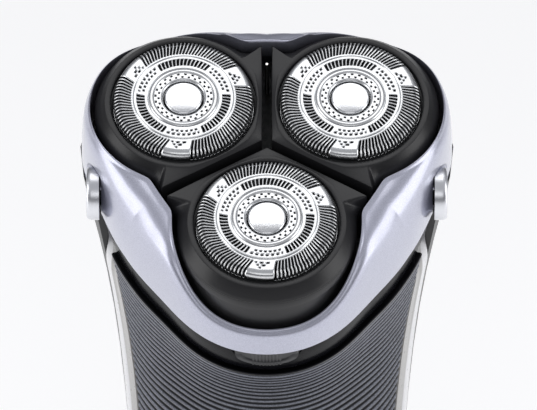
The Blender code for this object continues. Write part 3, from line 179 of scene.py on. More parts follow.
# Motor can, shafts, screws, pins and switch: bright drawn and turned steel.
# Fine marks run round the can, with a light haze where fingers have touched it.
turned = Shading("turned_steel", Metallic=1.0)
spot = turned.place()
lines = turned.noise(turned.stretched(spot, (1.0, 1.0, 14.0)), 900.0)
haze = turned.noise(spot, 160.0)
turned.feed(Base_Color=turned.blend(haze.step(0.3, 0.7), (0.50, 0.50, 0.51), (0.62, 0.62, 0.63)),
            Roughness=0.2 + 0.22 * haze)
turned.bump(lines, 0.00002, 0.5)
coat(turned.material, "motor", "motor_shaft", "hinge_pin", "trimmer_pin", "tact_switch")
coat(turned.material, *(f"deck_screw_{number}" for number in (1, 2, 3)))

# Centre stud and the charging pins: nickel-plated, small and bright.
nickel = Shading("nickel_plate", Metallic=1.0)
bloom = nickel.noise(nickel.place(), 1800.0)
nickel.feed(Base_Color=nickel.blend(bloom, (0.72, 0.70, 0.66), (0.80, 0.79, 0.76)),
            Roughness=0.12 + 0.1 * bloom)
coat(nickel.material, "centre_stud", "socket_pin_left", "socket_pin_right")

# Circuit board: woven glass under green solder mask. It is screwed to the inner frame.
mask_green = Shading("solder_mask", Coat_Weight=0.3, Coat_Roughness=0.15)
spot = mask_green.place()
weave_x = mask_green.node("ShaderNodeTexWave", {"bands_direction": "X"}, {"Vector": spot, "Scale": 320.0})
weave_z = mask_green.node("ShaderNodeTexWave", {"bands_direction": "Z"}, {"Vector": spot, "Scale": 320.0})
weave = weave_x * weave_z
mask_green.feed(Base_Color=mask_green.blend(weave, (0.01, 0.10, 0.04), (0.02, 0.17, 0.07)),
                Roughness=0.3 + 0.1 * weave)
mask_green.bump(weave, 0.00002)
coat(mask_green.material, "circuit_board")

# Battery: a steel can in a shrunk blue sleeve with soft wrinkles.
sleeve = Shading("battery_sleeve", Coat_Weight=0.4, Coat_Roughness=0.1)
wrinkle = sleeve.noise(sleeve.stretched(sleeve.place(), (1.0, 1.0, 0.25)), 300.0)
sleeve.feed(Base_Color=sleeve.blend(wrinkle, (0.03, 0.13, 0.33), (0.05, 0.2, 0.45)),
            Roughness=0.25 + 0.15 * wrinkle)
sleeve.bump(wrinkle, 0.0001)
coat(sleeve.material, "battery")

# Rear shell: satin black ABS with a fine spark-eroded grain, worn a little smoother
# where the palm rests. It carries the trimmer's tray and the ears of the head's hinge.
def satin_plastic(name, dark, light, rough, grain, shine=0.4):
    """Black moulded plastic: cell grain as bump, with slow changes of gloss over it."""
    made = Shading(name, Specular_IOR_Level=shine)
    spot = made.place()
    slow = made.noise(spot, 55.0, 4.0)
    fine = made.noise(spot, grain, 2.0)
    scuff = made.scratches(made.stretched(spot, (1.0, 1.0, 0.45)), 120.0) * slow.step(0.5, 0.7)
    made.feed(Base_Color=made.blend(slow, dark, light), Roughness=rough + 0.14 * slow + 0.08 * scuff)
    made.bump(fine, 0.00003, 0.35)
    return made.material


shell_black = satin_plastic("shell_black", (0.008, 0.008, 0.009), (0.014, 0.014, 0.016), 0.3, 3200.0)
coat(shell_black, "rear_shell", "trimmer_tray", "trimmer_arm", "trimmer_slide")

# Base cap, charging inlet and on/off button: polished black ABS with hairline scratches.
# The cap is glued to the shells and the inlet is snapped in from inside.
def polished_plastic(name, colour, rough, shine=0.5):
    """Black gloss: a smooth clear surface, faint orange peel and sparse hairlines."""
    made = Shading(name, Specular_IOR_Level=shine)
    spot = made.place()
    slow = made.noise(spot, 40.0)
    hair = made.scratches(made.stretched(spot, (1.0, 0.6, 0.5)), 170.0) * slow.step(0.45, 0.7)
    lifted = tuple(1.8 * share for share in colour)
    made.feed(Base_Color=made.blend(slow, colour, lifted), Roughness=rough + 0.06 * slow + 0.08 * hair)
    made.bump(made.noise(spot, 700.0, 1.0), 0.00002, 0.25)
    return made.material


gloss_black = polished_plastic("gloss_black", (0.005, 0.005, 0.006), 0.1)
coat(gloss_black, "base_cap", "charge_socket", "power_button")


def polish_facets(sharp, *nodes):
    """Shade a CAD piece as the smooth moulding it is, with the edges over the sharp angle kept."""
    group = bpy.data.node_groups.new("polish_facets", "GeometryNodeTree")
    group.interface.new_socket("Geometry", in_out="INPUT", socket_type="NodeSocketGeometry")
    group.interface.new_socket("Geometry", in_out="OUTPUT", socket_type="NodeSocketGeometry")
    weld = group.nodes.new("GeometryNodeMergeByDistance")
    forget = group.nodes.new("GeometryNodeRemoveAttribute")
    smooth = group.nodes.new("GeometryNodeSetShadeSmooth")
    keep = group.nodes.new("GeometryNodeSetShadeSmooth")
    start, end = group.nodes.new("NodeGroupInput"), group.nodes.new("NodeGroupOutput")
    chain = [start, weld, forget, smooth, keep, end]
    for before, after in zip(chain, chain[1:]):
        group.links.new(before.outputs[0], after.inputs[0])
    weld.inputs["Distance"].default_value = 0.001 * MM
    forget.inputs["Name"].default_value = "custom_normal"
    keep.domain = "EDGE"
    keep.inputs["Shade Smooth"].default_value = False
    angle = group.nodes.new("GeometryNodeInputMeshEdgeAngle")
    wide = group.nodes.new("FunctionNodeCompare")
    wide.inputs["B"].default_value = sharp
    group.links.new(angle.outputs["Unsigned Angle"], wide.inputs["A"])
    group.links.new(wide.outputs["Result"], keep.inputs["Selection"])
    for node in nodes:
        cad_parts[node].modifiers.new("polish_facets", "NODES").node_group = group


polish_facets(math.radians(28), "rear_shell", "base_cap", "power_button")

# Side strips: pale plastic rails let in between the grip and the rear shell. Each is painted
# grey beside the grip as shade and white along its crown as a highlight, and its scooped end
# under the ear is painted dark as shade. They are glued into their groove.
HEAD_CIRCLE = 17.551 * MM
NECK_LOBE, NECK_NOTCH, NECK_BLEND = 18.45 * MM, 29.501 * MM, 4.0 * MM
SPINE_TOP, SPINE_BEND, SPINE_FOOT = 12 * MM, 44 * MM, 82.6 * MM
NECK_FADE = 46 * MM
HALF_WIDTH, FRONT_DEPTH, BACK_DEPTH = 24.2 * MM, 19.0 * MM, 18.0 * MM
PANEL_TOP, PANEL_FOOT, PANEL_WALL = 0.3 * MM, 130.3 * MM, 1.8 * MM


def soft_step(value, start, end):
    """0 below start, 1 above end, with the cubic 3t^2 - 2t^3 between."""
    share = np.clip((value - start) / (end - start), 0, 1)
    return share * share * (3 - 2 * share)


def trefoil(phi, lobe, notch, blend=1.2 * MM):
    """Radius of three circles set round the axis, joined by one about it: a soft maximum of both."""
    psi = np.mod(phi + math.radians(150), math.radians(120)) - math.radians(60)
    circle = HEAD_CIRCLE * np.cos(psi) + np.sqrt(lobe**2 - (HEAD_CIRCLE * np.sin(psi)) ** 2)
    return (circle + notch + np.sqrt((circle - notch) ** 2 + blend**2)) / 2


def on_handle(phi, down, inset=0.0):
    """Handle's surface: sections along a spine that is straight, bends by the lean and is straight.

    Each section's radius is the neck's trefoil fading into an oval |x/a|^2.3 + |y/b|^2.3 = 1.
    """
    phi, down, inset = np.broadcast_arrays(phi, down, inset)
    bend_radius = SPINE_BEND / LEAN
    tilt = LEAN * np.clip(1 - (down - SPINE_TOP) / SPINE_BEND, 0, 1)
    above = np.clip(SPINE_TOP - down, 0, None)
    y = -bend_radius * (1 - np.cos(tilt)) - above * math.sin(LEAN)
    z = SPINE_FOOT + bend_radius * np.sin(tilt) + above * math.cos(LEAN)
    z = z - np.clip(down - SPINE_TOP - SPINE_BEND, 0, None)
    fade = np.exp(-((np.maximum(down, 0) / NECK_FADE) ** 1.3))
    depth = np.where(np.sin(phi) < 0, FRONT_DEPTH, BACK_DEPTH)
    oval = np.abs(np.cos(phi) / HALF_WIDTH) ** 2.3 + np.abs(np.sin(phi) / depth) ** 2.3
    neck = trefoil(phi, NECK_LOBE, NECK_NOTCH, NECK_BLEND)
    radius = fade * neck + (1 - fade) * oval ** (-1 / 2.3) - inset
    across = radius * np.sin(phi)
    y, z = y + across * np.cos(tilt), z + across * np.sin(tilt)
    return np.stack([radius * np.cos(phi), y, z], -1)


def grid_faces(rows, columns, loop_rows=False, loop_columns=False):
    """Quads between neighbouring points of a sheet, closed round in the directions that loop."""
    index = np.arange(rows * columns).reshape(rows, columns)
    if loop_rows:
        index = np.vstack([index, index[:1]])
    if loop_columns:
        index = np.hstack([index, index[:, :1]])
    corners = [index[:-1, :-1], index[1:, :-1], index[1:, 1:], index[:-1, 1:]]
    return np.stack(corners, -1).reshape(-1, 4)


def make_piece(name, points, faces, material, body, nodes, sheet=None, crease=40, closed=True):
    """Put a sheet of points and its faces into an object that rides and stands for its CAD nodes.

    sheet is one (u, v) pair a point, kept as the piece's UV map.
    """
    points = np.asarray(points, float).reshape(-1, 3)
    mesh = bpy.data.meshes.new(name)
    faces = [tuple(face) for face in (faces.tolist() if isinstance(faces, np.ndarray) else faces)]
    mesh.from_pydata(points.tolist(), [], faces)
    if sheet is not None:
        layer = mesh.uv_layers.new(name="Sheet")
        corner = np.empty(len(mesh.loops), int)
        mesh.loops.foreach_get("vertex_index", corner)
        layer.data.foreach_set("uv", np.asarray(sheet, float).reshape(-1, 2)[corner].ravel())
    work = bmesh.new()
    work.from_mesh(mesh)
    if closed:
        bmesh.ops.recalc_face_normals(work, faces=work.faces)
    work.to_mesh(mesh)
    work.free()
    mesh.materials.append(material)
    mesh.shade_smooth()
    mesh.set_sharp_from_angle(angle=math.radians(crease))
    piece = bpy.data.objects.new(name, mesh)
    bpy.context.scene.collection.objects.link(piece)
    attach(piece, body)
    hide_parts(*nodes)
    return piece


def panel(low, high, start, end, columns, rows, wall, relief, round_off=0.35 * MM):
    """A closed panel of the handle: outer skin from edge to edge, rounded over to its inner skin.

    relief(phi, down) gives how far each point of the skin is sunk or raised. Returns the points,
    a (share across, length down) pair for each, and the faces.
    """
    margin = np.array([0.0, 0.0, 0.15, 0.5])
    sink = np.array([wall, 1.0 * round_off, 0.3 * round_off, 0.0])
    across = np.concatenate([margin * 0.01, np.linspace(0.01, 0.99, columns), 1 - margin[::-1] * 0.01])
    across_sink = np.concatenate([sink, np.zeros(columns), sink[::-1]])
    along = np.concatenate([margin * round_off, np.linspace(round_off, end - start - round_off, rows),
                            end - start - margin[::-1] * round_off]) + start
    along_sink = np.concatenate([sink, np.zeros(rows), sink[::-1]])
    down, share = np.meshgrid(along, across, indexing="ij")
    phi = low(down) + (high(down) - low(down)) * share
    sunk = np.maximum(along_sink[:, None], across_sink[None, :])
    outer = on_handle(phi, down, sunk + relief(phi, down))
    inner = on_handle(phi, down, wall + 0.05 * MM)
    sheet = np.stack([share, down / MM], -1)
    count = outer.shape[0] * outer.shape[1]
    skin = grid_faces(*down.shape)
    rim = np.arange(count).reshape(down.shape)
    edge = np.concatenate([rim[0, :-1], rim[:-1, -1], rim[-1, :0:-1], rim[:0:-1, 0]])
    ahead = np.roll(edge, -1)
    walls = np.stack([edge, edge + count, ahead + count, ahead], -1)
    faces = np.concatenate([skin, skin[:, ::-1] + count, walls])
    points = np.concatenate([outer.reshape(-1, 3), inner.reshape(-1, 3)])
    return points, np.concatenate([sheet.reshape(-1, 2)] * 2), faces


def grip_side(down):
    """Angle under the x axis where grip and strip meet: it opens from 10.5 to 22 degrees down the neck."""
    return np.radians(22) - np.radians(11.5) * np.exp(-down / (20 * MM))


SEAM = math.radians(0.32)
STRIP_SIDE = math.radians(6)
SCOOP_LENGTH = 20 * MM


def strip_relief(phi, down):
    """The crown, painted white as a highlight, stands 0.25 mm proud; the top end is scooped 1.3 mm deep
    over 20 mm.
    """
    depth = -np.mod(phi + math.pi / 2, math.pi) + math.pi / 2
    crown = soft_step(np.abs(depth), math.radians(14), math.radians(12))
    scoop = 1 - soft_step(down, 9 * MM, SCOOP_LENGTH)
    hollow = np.sin(np.clip(down / SCOOP_LENGTH, 0, 1) * math.pi)
    return -0.25 * MM * crown * (1 - scoop) + 1.3 * MM * scoop * hollow


rail = Shading("pale_rail", Coat_Weight=0.35, Coat_Roughness=0.12)
sheet_uv = rail.place("UV")
split = rail.node("ShaderNodeSeparateXYZ", sockets={"Vector": sheet_uv})
down = Value(rail, split.socket.node.outputs[1])
# Painted light across the strip: grey on the foot side as painted shade, white on the crown as a painted
# highlight.
white = split.step(0.46, 0.54)
# Painted shade: the scooped top end is coloured near black, fading out between 9 and 17 mm down.
scoop_shade_fade = down.step(9.0, 17.0)
speck = rail.noise(rail.place(), 1400.0)
rail_painted_light = rail.blend(white, (0.36, 0.35, 0.34), (0.78, 0.78, 0.80))
painted_scoop_shade = rail.blend(white, (0.008, 0.008, 0.009), (0.16, 0.16, 0.18))
rail_painted_light = rail.blend(scoop_shade_fade, painted_scoop_shade, rail_painted_light)
rail.feed(Base_Color=rail_painted_light, Roughness=0.22 + 0.16 * speck)
rail.bump(speck, 0.00001, 0.5)
for side in ("right", "left"):
    flip = side == "left"
    points, sheet, faces = panel(lambda d: -grip_side(d) + SEAM, lambda d: -STRIP_SIDE - SEAM + 0 * d,
                                 PANEL_TOP, PANEL_FOOT, 22, 150, PANEL_WALL, strip_relief)
    points = points * (-1 if flip else 1, 1, 1)
    make_piece(f"side_rail_{side}", points, faces, rail.material, "root", [f"side_strip_{side}"],
               sheet)

# Front grip: one dark pearl moulding with fine square-topped ribs that run round the handle
# below the neck band and crowd together at its sides. It is glued over the rear shell's edge
# and leaves round openings for the button's bezel and for the charge light.
GRIP_TOP, BAND_FOOT = 9.6 * MM, 9.3 * MM
RIB_TOP, RIB_PITCH, RIB_DEPTH = 10.4 * MM, 2.3 * MM, 0.34 * MM
RIB_RISE, RIB_REACH = 9 * MM, 22 * MM


def rib_profile(side, down):
    """Rib height from 0 to 1: a flattened sine of the length below the first rib over the pitch.

    side is -1 to 1 across the grip. The ribs crowd together towards the sides, so the length
    grows there by the rise times side^2 times 1 - e^(-length/reach), and each rib is a shallow U.
    """
    along = np.clip(down - RIB_TOP, 0, None)
    along = along + RIB_RISE * side**2 * (1 - np.exp(-along / RIB_REACH))
    wave = 0.5 - 0.5 * np.cos(2 * math.pi * along / RIB_PITCH)
    return soft_step(wave, 0.1, 0.9)


BUTTON_Z, LIGHT_Z = 70 * MM, 56 * MM
BEZEL_RADIUS, LIGHT_RADIUS = 8.3 * MM, 1.65 * MM


def grip_relief(phi, down):
    """Grooves between the ribs, run out before the edges, and wells round the button and light."""
    place = on_handle(phi, down)
    from_button = np.hypot(place[..., 0], place[..., 2] - BUTTON_Z)
    from_light = np.hypot(place[..., 0], place[..., 2] - LIGHT_Z)
    front = place[..., 1] < 0
    clear = soft_step(from_button, 10.2 * MM, 11.2 * MM) * soft_step(from_light, 2.6 * MM, 3.4 * MM)
    run_out = soft_step(down, RIB_TOP - 0.1 * MM, RIB_TOP + 0.3 * MM)
    run_out = run_out * soft_step(-down, -128.5 * MM, -127 * MM)
    side = (phi + math.pi / 2) / (math.pi / 2 - grip_side(down))
    groove = RIB_DEPTH * (1 - rib_profile(side, down)) * np.where(front, clear, 1) * run_out
    button_well = 1 - soft_step(from_button, BEZEL_RADIUS, BEZEL_RADIUS + 0.3 * MM)
    well = button_well + (1 - soft_step(from_light, LIGHT_RADIUS, LIGHT_RADIUS + 0.25 * MM))
    return groove + 1.5 * MM * np.where(front, np.clip(well, 0, 1), 0)


pearl = Shading("pearl_grip", Metallic=0.8, Coat_Weight=0.12, Coat_Roughness=0.12,
                Specular_IOR_Level=0.3)
spot = pearl.place()
flake = pearl.noise(spot, 5200.0, 2.0)
slow = pearl.noise(spot, 36.0)
# rib is 1 on the crests and 0 in the grooves, and the grooves are painted near black as shade.
rib = pearl.node("ShaderNodeSeparateXYZ", sockets={"Vector": pearl.place("UV")}).step(0.3, 0.95)
crest = pearl.blend(flake.step(0.3, 0.75), (0.10, 0.105, 0.125), (0.22, 0.23, 0.27))
pearl.feed(Base_Color=pearl.blend(rib, (0.008, 0.008, 0.010), crest), Roughness=0.24 + 0.1 * slow)
pearl.bump(flake, 0.00001, 0.3)
points, sheet, faces = panel(lambda d: -math.pi + grip_side(d) + SEAM, lambda d: -grip_side(d) - SEAM,
                             GRIP_TOP, PANEL_FOOT, 72, 520, PANEL_WALL, grip_relief, 0.3 * MM)
sheet[:, 0] = rib_profile(2 * sheet[:, 0] - 1, sheet[:, 1] * MM)
make_piece("ribbed_grip", points, faces, pearl.material, "root", ["front_grip"], sheet, 60)

# Neck band: a polished black hoop just under the head, set 1 mm back from the grip.
# It is snapped into the rear shell, and its middle is let in for the release button.
BAND_SET_BACK, BAND_WALL = 1.0 * MM, 4.0 * MM
WELL_DEPTH = 2.6 * MM
RELEASE_HALF, RELEASE_DROP = 5.9 * MM, 4.3 * MM


def band_relief(phi, down):
    """Set back from the handle's line, with a half-moon well round the release button."""
    x = on_handle(phi, down)[..., 0]
    side = np.clip(1 - (x / (RELEASE_HALF + 0.5 * MM)) ** 2, 0, 1) ** 0.3
    inside = soft_step((RELEASE_DROP + 0.75 * MM) * side - down, -0.1 * MM, 0.15 * MM) * (side > 0)
    front = (phi < -math.pi / 4) & (phi > -3 * math.pi / 4)
    return BAND_SET_BACK + WELL_DEPTH * inside * front


band_black = polished_plastic("band_black", (0.003, 0.003, 0.004), 0.16, 0.02)
points, sheet, faces = panel(lambda d: -math.pi + grip_side(d) + SEAM, lambda d: -grip_side(d) - SEAM,
                             PANEL_TOP, BAND_FOOT, 420, 46, BAND_WALL, band_relief, 0.25 * MM)
make_piece("neck_hoop", points, faces, band_black, "root", ["neck_band"], sheet, 50)

# Release button: a half-moon thumb catch of black ABS with a raised lip along its lower edge
# and seven small ribs on it. It slides back against a leaf spring to free the head.
COLLAR_LOBE = 18.1 * MM
FRONT_REACH = HEAD_CIRCLE + COLLAR_LOBE


def release_surface(share, turn):
    """Half-moon: share runs from the middle of the top edge outwards, turn along the curved edge.

    The face is a shallow dish, and its last fifth is a lip that carries a row of ribs.
    """
    x = RELEASE_HALF * share * np.cos(turn)
    z = -FACE_HEIGHT - 0.6 * MM - (RELEASE_DROP - 0.3 * MM) * share * np.abs(np.sin(turn)) ** 0.6
    lip = soft_step(share, 0.72, 0.86) * soft_step(np.sin(turn), 0.05, 0.4)
    ribs = 0.5 + 0.5 * np.cos(2 * math.pi * x / (0.62 * MM))
    near = soft_step(np.abs(x), 2.9 * MM, 2.5 * MM) * soft_step(share, 0.9, 0.95)
    out = 0.5 * MM * lip + 0.2 * MM * ribs * near - 0.1 * MM
    bow = (x / RELEASE_HALF) ** 2 * 0.5 * MM
    return np.stack([x, -FRONT_REACH + 0.55 * MM + bow - out, z], -1)


share, turn = np.meshgrid(np.linspace(0, 1, 40), np.linspace(0, math.pi, 121), indexing="ij")
face = release_surface(share, turn)
share_step = np.array([[0.995, 0.0], [1.0, 0.12 * MM], [1.0, 0.3 * MM]])
skirt = [release_surface(np.full(121, reach), turn[0]) + (0, back, 0) for reach, back in share_step]
face = np.concatenate([face, skirt])
closing = face[-1] * (0, 1, 0) + np.array([0, 0, -FACE_HEIGHT - 0.6 * MM])
closing[:, 0] = face[-1, :, 0]
face = np.concatenate([face, closing[None]])
faces = grid_faces(*face.shape[:2])
catch_black = polished_plastic("catch_black", (0.022, 0.022, 0.024), 0.32, 0.5)
make_piece("release_catch", in_head(face), faces, catch_black, "release_button", ["release_button"],
           None, 50)

# Button bezel and charge light: a chromed ring round the on/off button, and a clear green
# lens under it. Both are pushed into the grip from the front.
plate_chrome = Shading("bezel_chrome", Metallic=1.0)
bloom = plate_chrome.noise(plate_chrome.place(), 500.0)
plate_chrome.feed(Base_Color=plate_chrome.blend(bloom, (0.74, 0.75, 0.77), (0.84, 0.85, 0.87)),
                  Roughness=0.07 + 0.08 * bloom)
coat(plate_chrome.material, "button_bezel")
lens = Shading("green_lens", Transmission_Weight=0.6, Coat_Weight=0.5)
cloud = lens.noise(lens.place(), 900.0)
lens.feed(Base_Color=lens.blend(cloud, (0.25, 0.65, 0.35), (0.4, 0.8, 0.5)), Roughness=0.1 + 0.1 * cloud)
coat(lens.material, "charge_light")

# Head collar: a die-cast zinc hoop in silver-lilac lacquer under clear coat. It swells from a
# thin inner rim round the heads to full cheeks at the front notches and a step at the back.
# Its sides are let in for the two chromed ears, and its knuckle takes the hinge pin.
HOLDER_LOBE, HOLDER_NOTCH = 16.2 * MM, 21.401 * MM
RIM_GAP = 0.9 * MM
EAR_X, EAR_Y, EAR_Z, EAR_R = 30.6 * MM, -3.6 * MM, -12.6 * MM, 4.9 * MM
EAR_DEPTH = 2.3 * MM
HINGE_Y, HINGE_Z, HINGE_ROOM = 29.601 * MM, -16.65 * MM, 2.25 * MM


def angle_from(phi, middle):
    """Degrees from a direction, either way round."""
    return np.degrees(np.mod(phi - math.radians(middle) + math.pi, 2 * math.pi) - math.pi)


def collar_rim(phi):
    """Height of the inner rim: a small wave, a deep dip at the front head and one by each rear head."""
    front = np.exp(-((angle_from(phi, -90) / 31) ** 4))
    lobes = np.exp(-(((np.abs(angle_from(phi, 90)) - 38) / 15) ** 2))
    return (0.6 * np.cos(3 * (phi - math.pi / 2)) - 2.7 - 7.6 * front - 2.8 * lobes) * MM


def collar_swell(phi, turn):
    """Section from the inner rim outwards: width sin(t)^k across, depth (1 - cos t) down.

    The shelf is a low step that only the back of the collar has.
    """
    inner = trefoil(phi, HOLDER_LOBE + RIM_GAP, HOLDER_NOTCH + RIM_GAP)
    outer = trefoil(phi, COLLAR_LOBE, NECK_NOTCH, NECK_BLEND)
    top = collar_rim(phi)
    slope = 0.8 + 0.9 * soft_step(np.sin(phi), -0.3, 0.6)
    soft = trefoil(phi, HOLDER_LOBE + RIM_GAP, HOLDER_NOTCH + RIM_GAP, 6.0 * MM)
    base = inner + (soft - inner) * soft_step(turn, 0.0, 0.7)
    radius = base + (outer - base) * np.sin(turn) ** slope
    z = top + (-FACE_HEIGHT - top) * (1 - np.cos(turn))
    back = np.exp(-((angle_from(phi, 90) / 27) ** 6))
    shelf = soft_step(radius, 21.9 * MM, 22.8 * MM) * soft_step(-radius, -26.6 * MM, -25.4 * MM)
    return radius, z + 0.7 * MM * back * shelf, inner, outer


def collar_sheet(columns, rows):
    """Closed ring: bead at the rim, swell, foot, and inner wall, with the ear pockets pressed in."""
    phi = np.linspace(0, 2 * math.pi, columns, endpoint=False)
    turn = np.linspace(0.0, 1.0, rows)[:, None] ** 0.8 * math.pi / 2
    radius, z, inner, outer = collar_swell(phi[None, :], turn)
    bead = np.exp(-(((radius - inner) / (0.55 * MM)) ** 4))
    z = z + 0.3 * MM * bead
    under = np.minimum(1.6 * MM, 0.62 * (outer - inner))
    foot = np.full_like(phi, -FACE_HEIGHT)
    top = collar_rim(phi)
    # The foot, the under side and the inner wall close the ring.
    middle = inner + 0.55 * np.maximum(outer - inner - 1.5 * under, 0)
    tail_r = [outer - 0.1 * MM, outer - under, middle, inner, inner - 0.1 * MM, inner - 0.05 * MM]
    tail_z = [foot, foot, (top + foot) / 2, 0.72 * top + 0.28 * foot, top - 0.4 * MM, top + 0.15 * MM]
    radius = np.concatenate([radius, np.concatenate([np.broadcast_to(r, inner.shape) for r in tail_r])])
    z = np.concatenate([z, np.stack(tail_z)])
    points = np.stack([radius * np.cos(phi), radius * np.sin(phi), z], -1)
    # A round flat pocket on each side takes an ear.
    away = np.hypot(points[..., 1] - EAR_Y, points[..., 2] - EAR_Z)
    pressed = 1 - soft_step(away, EAR_R + 0.2 * MM, EAR_R + 0.5 * MM)
    limit = np.maximum(np.abs(points[..., 0]) - (EAR_X - 0.3 * MM), 0) * pressed
    points[..., 0] -= np.sign(points[..., 0]) * limit
    # Two hollows beside the knuckle clear the shell's hinge ears.
    room = HINGE_ROOM**2 - (points[..., 2] - HINGE_Z) ** 2
    beside = (np.abs(points[..., 0]) > 5.3 * MM) & (np.abs(points[..., 0]) < 9.4 * MM)
    beside &= room > 0
    beside &= points[..., 1] > 20 * MM
    behind = HINGE_Y - np.sqrt(np.maximum(room, 0))
    points[..., 1] = np.where(beside, np.minimum(points[..., 1], behind), points[..., 1])
    sheet = np.broadcast_to(np.stack([np.cos(phi), np.sin(phi)], -1), (*radius.shape, 2))
    return points, sheet, grid_faces(*radius.shape, loop_rows=True, loop_columns=True)


lacquer = Shading("silver_lilac_lacquer", Metallic=0.72, Coat_Weight=0.8, Coat_Roughness=0.06)
spot = lacquer.place()
flake = lacquer.noise(spot, 6500.0, 1.0)
drift = lacquer.noise(spot, 45.0)
hair = lacquer.scratches(lacquer.stretched(spot, (1.0, 0.7, 0.6)), 150.0) * drift.step(0.5, 0.72)
lacquer.feed(Base_Color=lacquer.blend(flake.step(0.25, 0.8), (0.46, 0.47, 0.57), (0.62, 0.63, 0.74)),
             Roughness=0.3 + 0.06 * flake + 0.1 * hair)
lacquer.bump(flake, 0.000006, 0.35)
points, sheet, faces = collar_sheet(900, 84)
make_piece("collar_shell", in_head(points), faces, lacquer.material, "head_unit", ["head_collar"],
           None, 55)
turn = np.linspace(0, 2 * math.pi, 64, endpoint=False)
across = np.array([-5.5, -5.5, -5.35, 5.35, 5.5, 5.5])[:, None] * MM + 0 * turn
radius = np.array([1.2, 1.75, 1.9, 1.9, 1.75, 1.2])[:, None] * MM
knuckle = np.stack([across, HINGE_Y + radius * np.cos(turn), HINGE_Z + radius * np.sin(turn)], -1)
make_piece("hinge_knuckle", in_head(knuckle), grid_faces(6, 64, loop_rows=True, loop_columns=True),
           lacquer.material, "head_unit", [], None, 50)

# Side ears: brass pressings with satin chrome plate, domed with a rolled rim and cut flat
# along the neck joint. Each is pressed into the collar's cheek.
def ear_sheet(side):
    """A round dome: the profile (height, share of radius) turned about x and cut off at the joint."""
    turn = np.linspace(0, 2 * math.pi, 160, endpoint=False)
    profile = np.array([(0.0, 1.0), (0.6, 1.0), (0.8, 0.985), (0.93, 0.955), (1.0, 0.91), (1.0, 0.87),
                        (0.95, 0.83), (0.86, 0.80), (0.80, 0.77), (0.80, 0.74), (0.85, 0.66),
                        (0.91, 0.5), (0.95, 0.35), (0.975, 0.2), (0.985, 0.06), (0.985, 0.0)])
    reach = EAR_R * profile[:, 1][:, None]
    y = EAR_Y + reach * np.cos(turn)
    z = np.maximum(EAR_Z + reach * np.sin(turn), -FACE_HEIGHT + 0.1 * MM)
    x = side * (EAR_X + EAR_DEPTH * profile[:, 0][:, None] + 0 * turn)
    return np.stack([x, y, z], -1)


plate = Shading("ear_chrome", Metallic=1.0)
spot = plate.place()
bloom = plate.noise(spot, 260.0)
hair = plate.scratches(spot, 420.0)
plate.feed(Base_Color=plate.blend(bloom, (0.74, 0.75, 0.79), (0.86, 0.87, 0.90)),
           Roughness=0.26 + 0.08 * bloom + 0.1 * hair)
plate.bump(bloom, 0.00002, 0.3)
for side, name in ((1, "right"), (-1, "left")):
    points = ear_sheet(side)
    rows, columns, _ = points.shape
    faces = grid_faces(rows, columns, loop_columns=True).tolist()
    faces.append(list(range(columns)))
    make_piece(f"ear_plate_{name}", in_head(points), faces, plate.material, "head_unit",
               [f"side_ear_{name}"], None, 50)

# Cap holders: three satin black lobes that rock on pins in the head frame, parted by a
# Y-shaped slit. Each has a flat land round its cap, a crease, a slope down to a rolled
# outer edge and a straight skirt with a parting step, moulded in filled ABS.
HEADS = {"front": math.radians(-90), "right": math.radians(30), "left": math.radians(150)}
CAP_R = 12.5 * MM
HOLE_R = 13.3 * MM
SLIT = 1.8 * MM
HOLDER_FOOT = -12.0 * MM


def head_centre(angle):
    return np.array([HEAD_CIRCLE * math.cos(angle), HEAD_CIRCLE * math.sin(angle)])


def lobe_outline(angle):
    """A lobe's outline, from the trefoil and two straight slit walls, turned to its place.

    The second value is 1 along the outer edge, 0 along the slit, and soft between.
    """
    limit = math.radians(60) - math.asin(SLIT / 2 / HOLDER_NOTCH)
    psi = np.linspace(-limit, limit, 260)
    radius = trefoil(psi + math.radians(30), HOLDER_LOBE, HOLDER_NOTCH)
    arc = np.stack([radius * np.cos(psi), radius * np.sin(psi)], -1)
    inner = np.array([SLIT / 2 / math.sin(math.radians(60)), 0])
    share = np.linspace(0, 1, 72)[1:, None]
    back = arc[-1] + (inner - arc[-1]) * share
    forth = inner + (arc[0] - inner) * share[:-1]
    points = np.concatenate([arc, back, forth])
    outer = np.concatenate([np.ones(len(arc)), np.zeros(len(back) + len(forth))])
    outer[:len(arc)] = soft_step(limit - np.abs(psi), 0, math.radians(4))
    turned = np.array([[math.cos(angle), -math.sin(angle)], [math.sin(angle), math.cos(angle)]])
    return points @ turned.T, outer


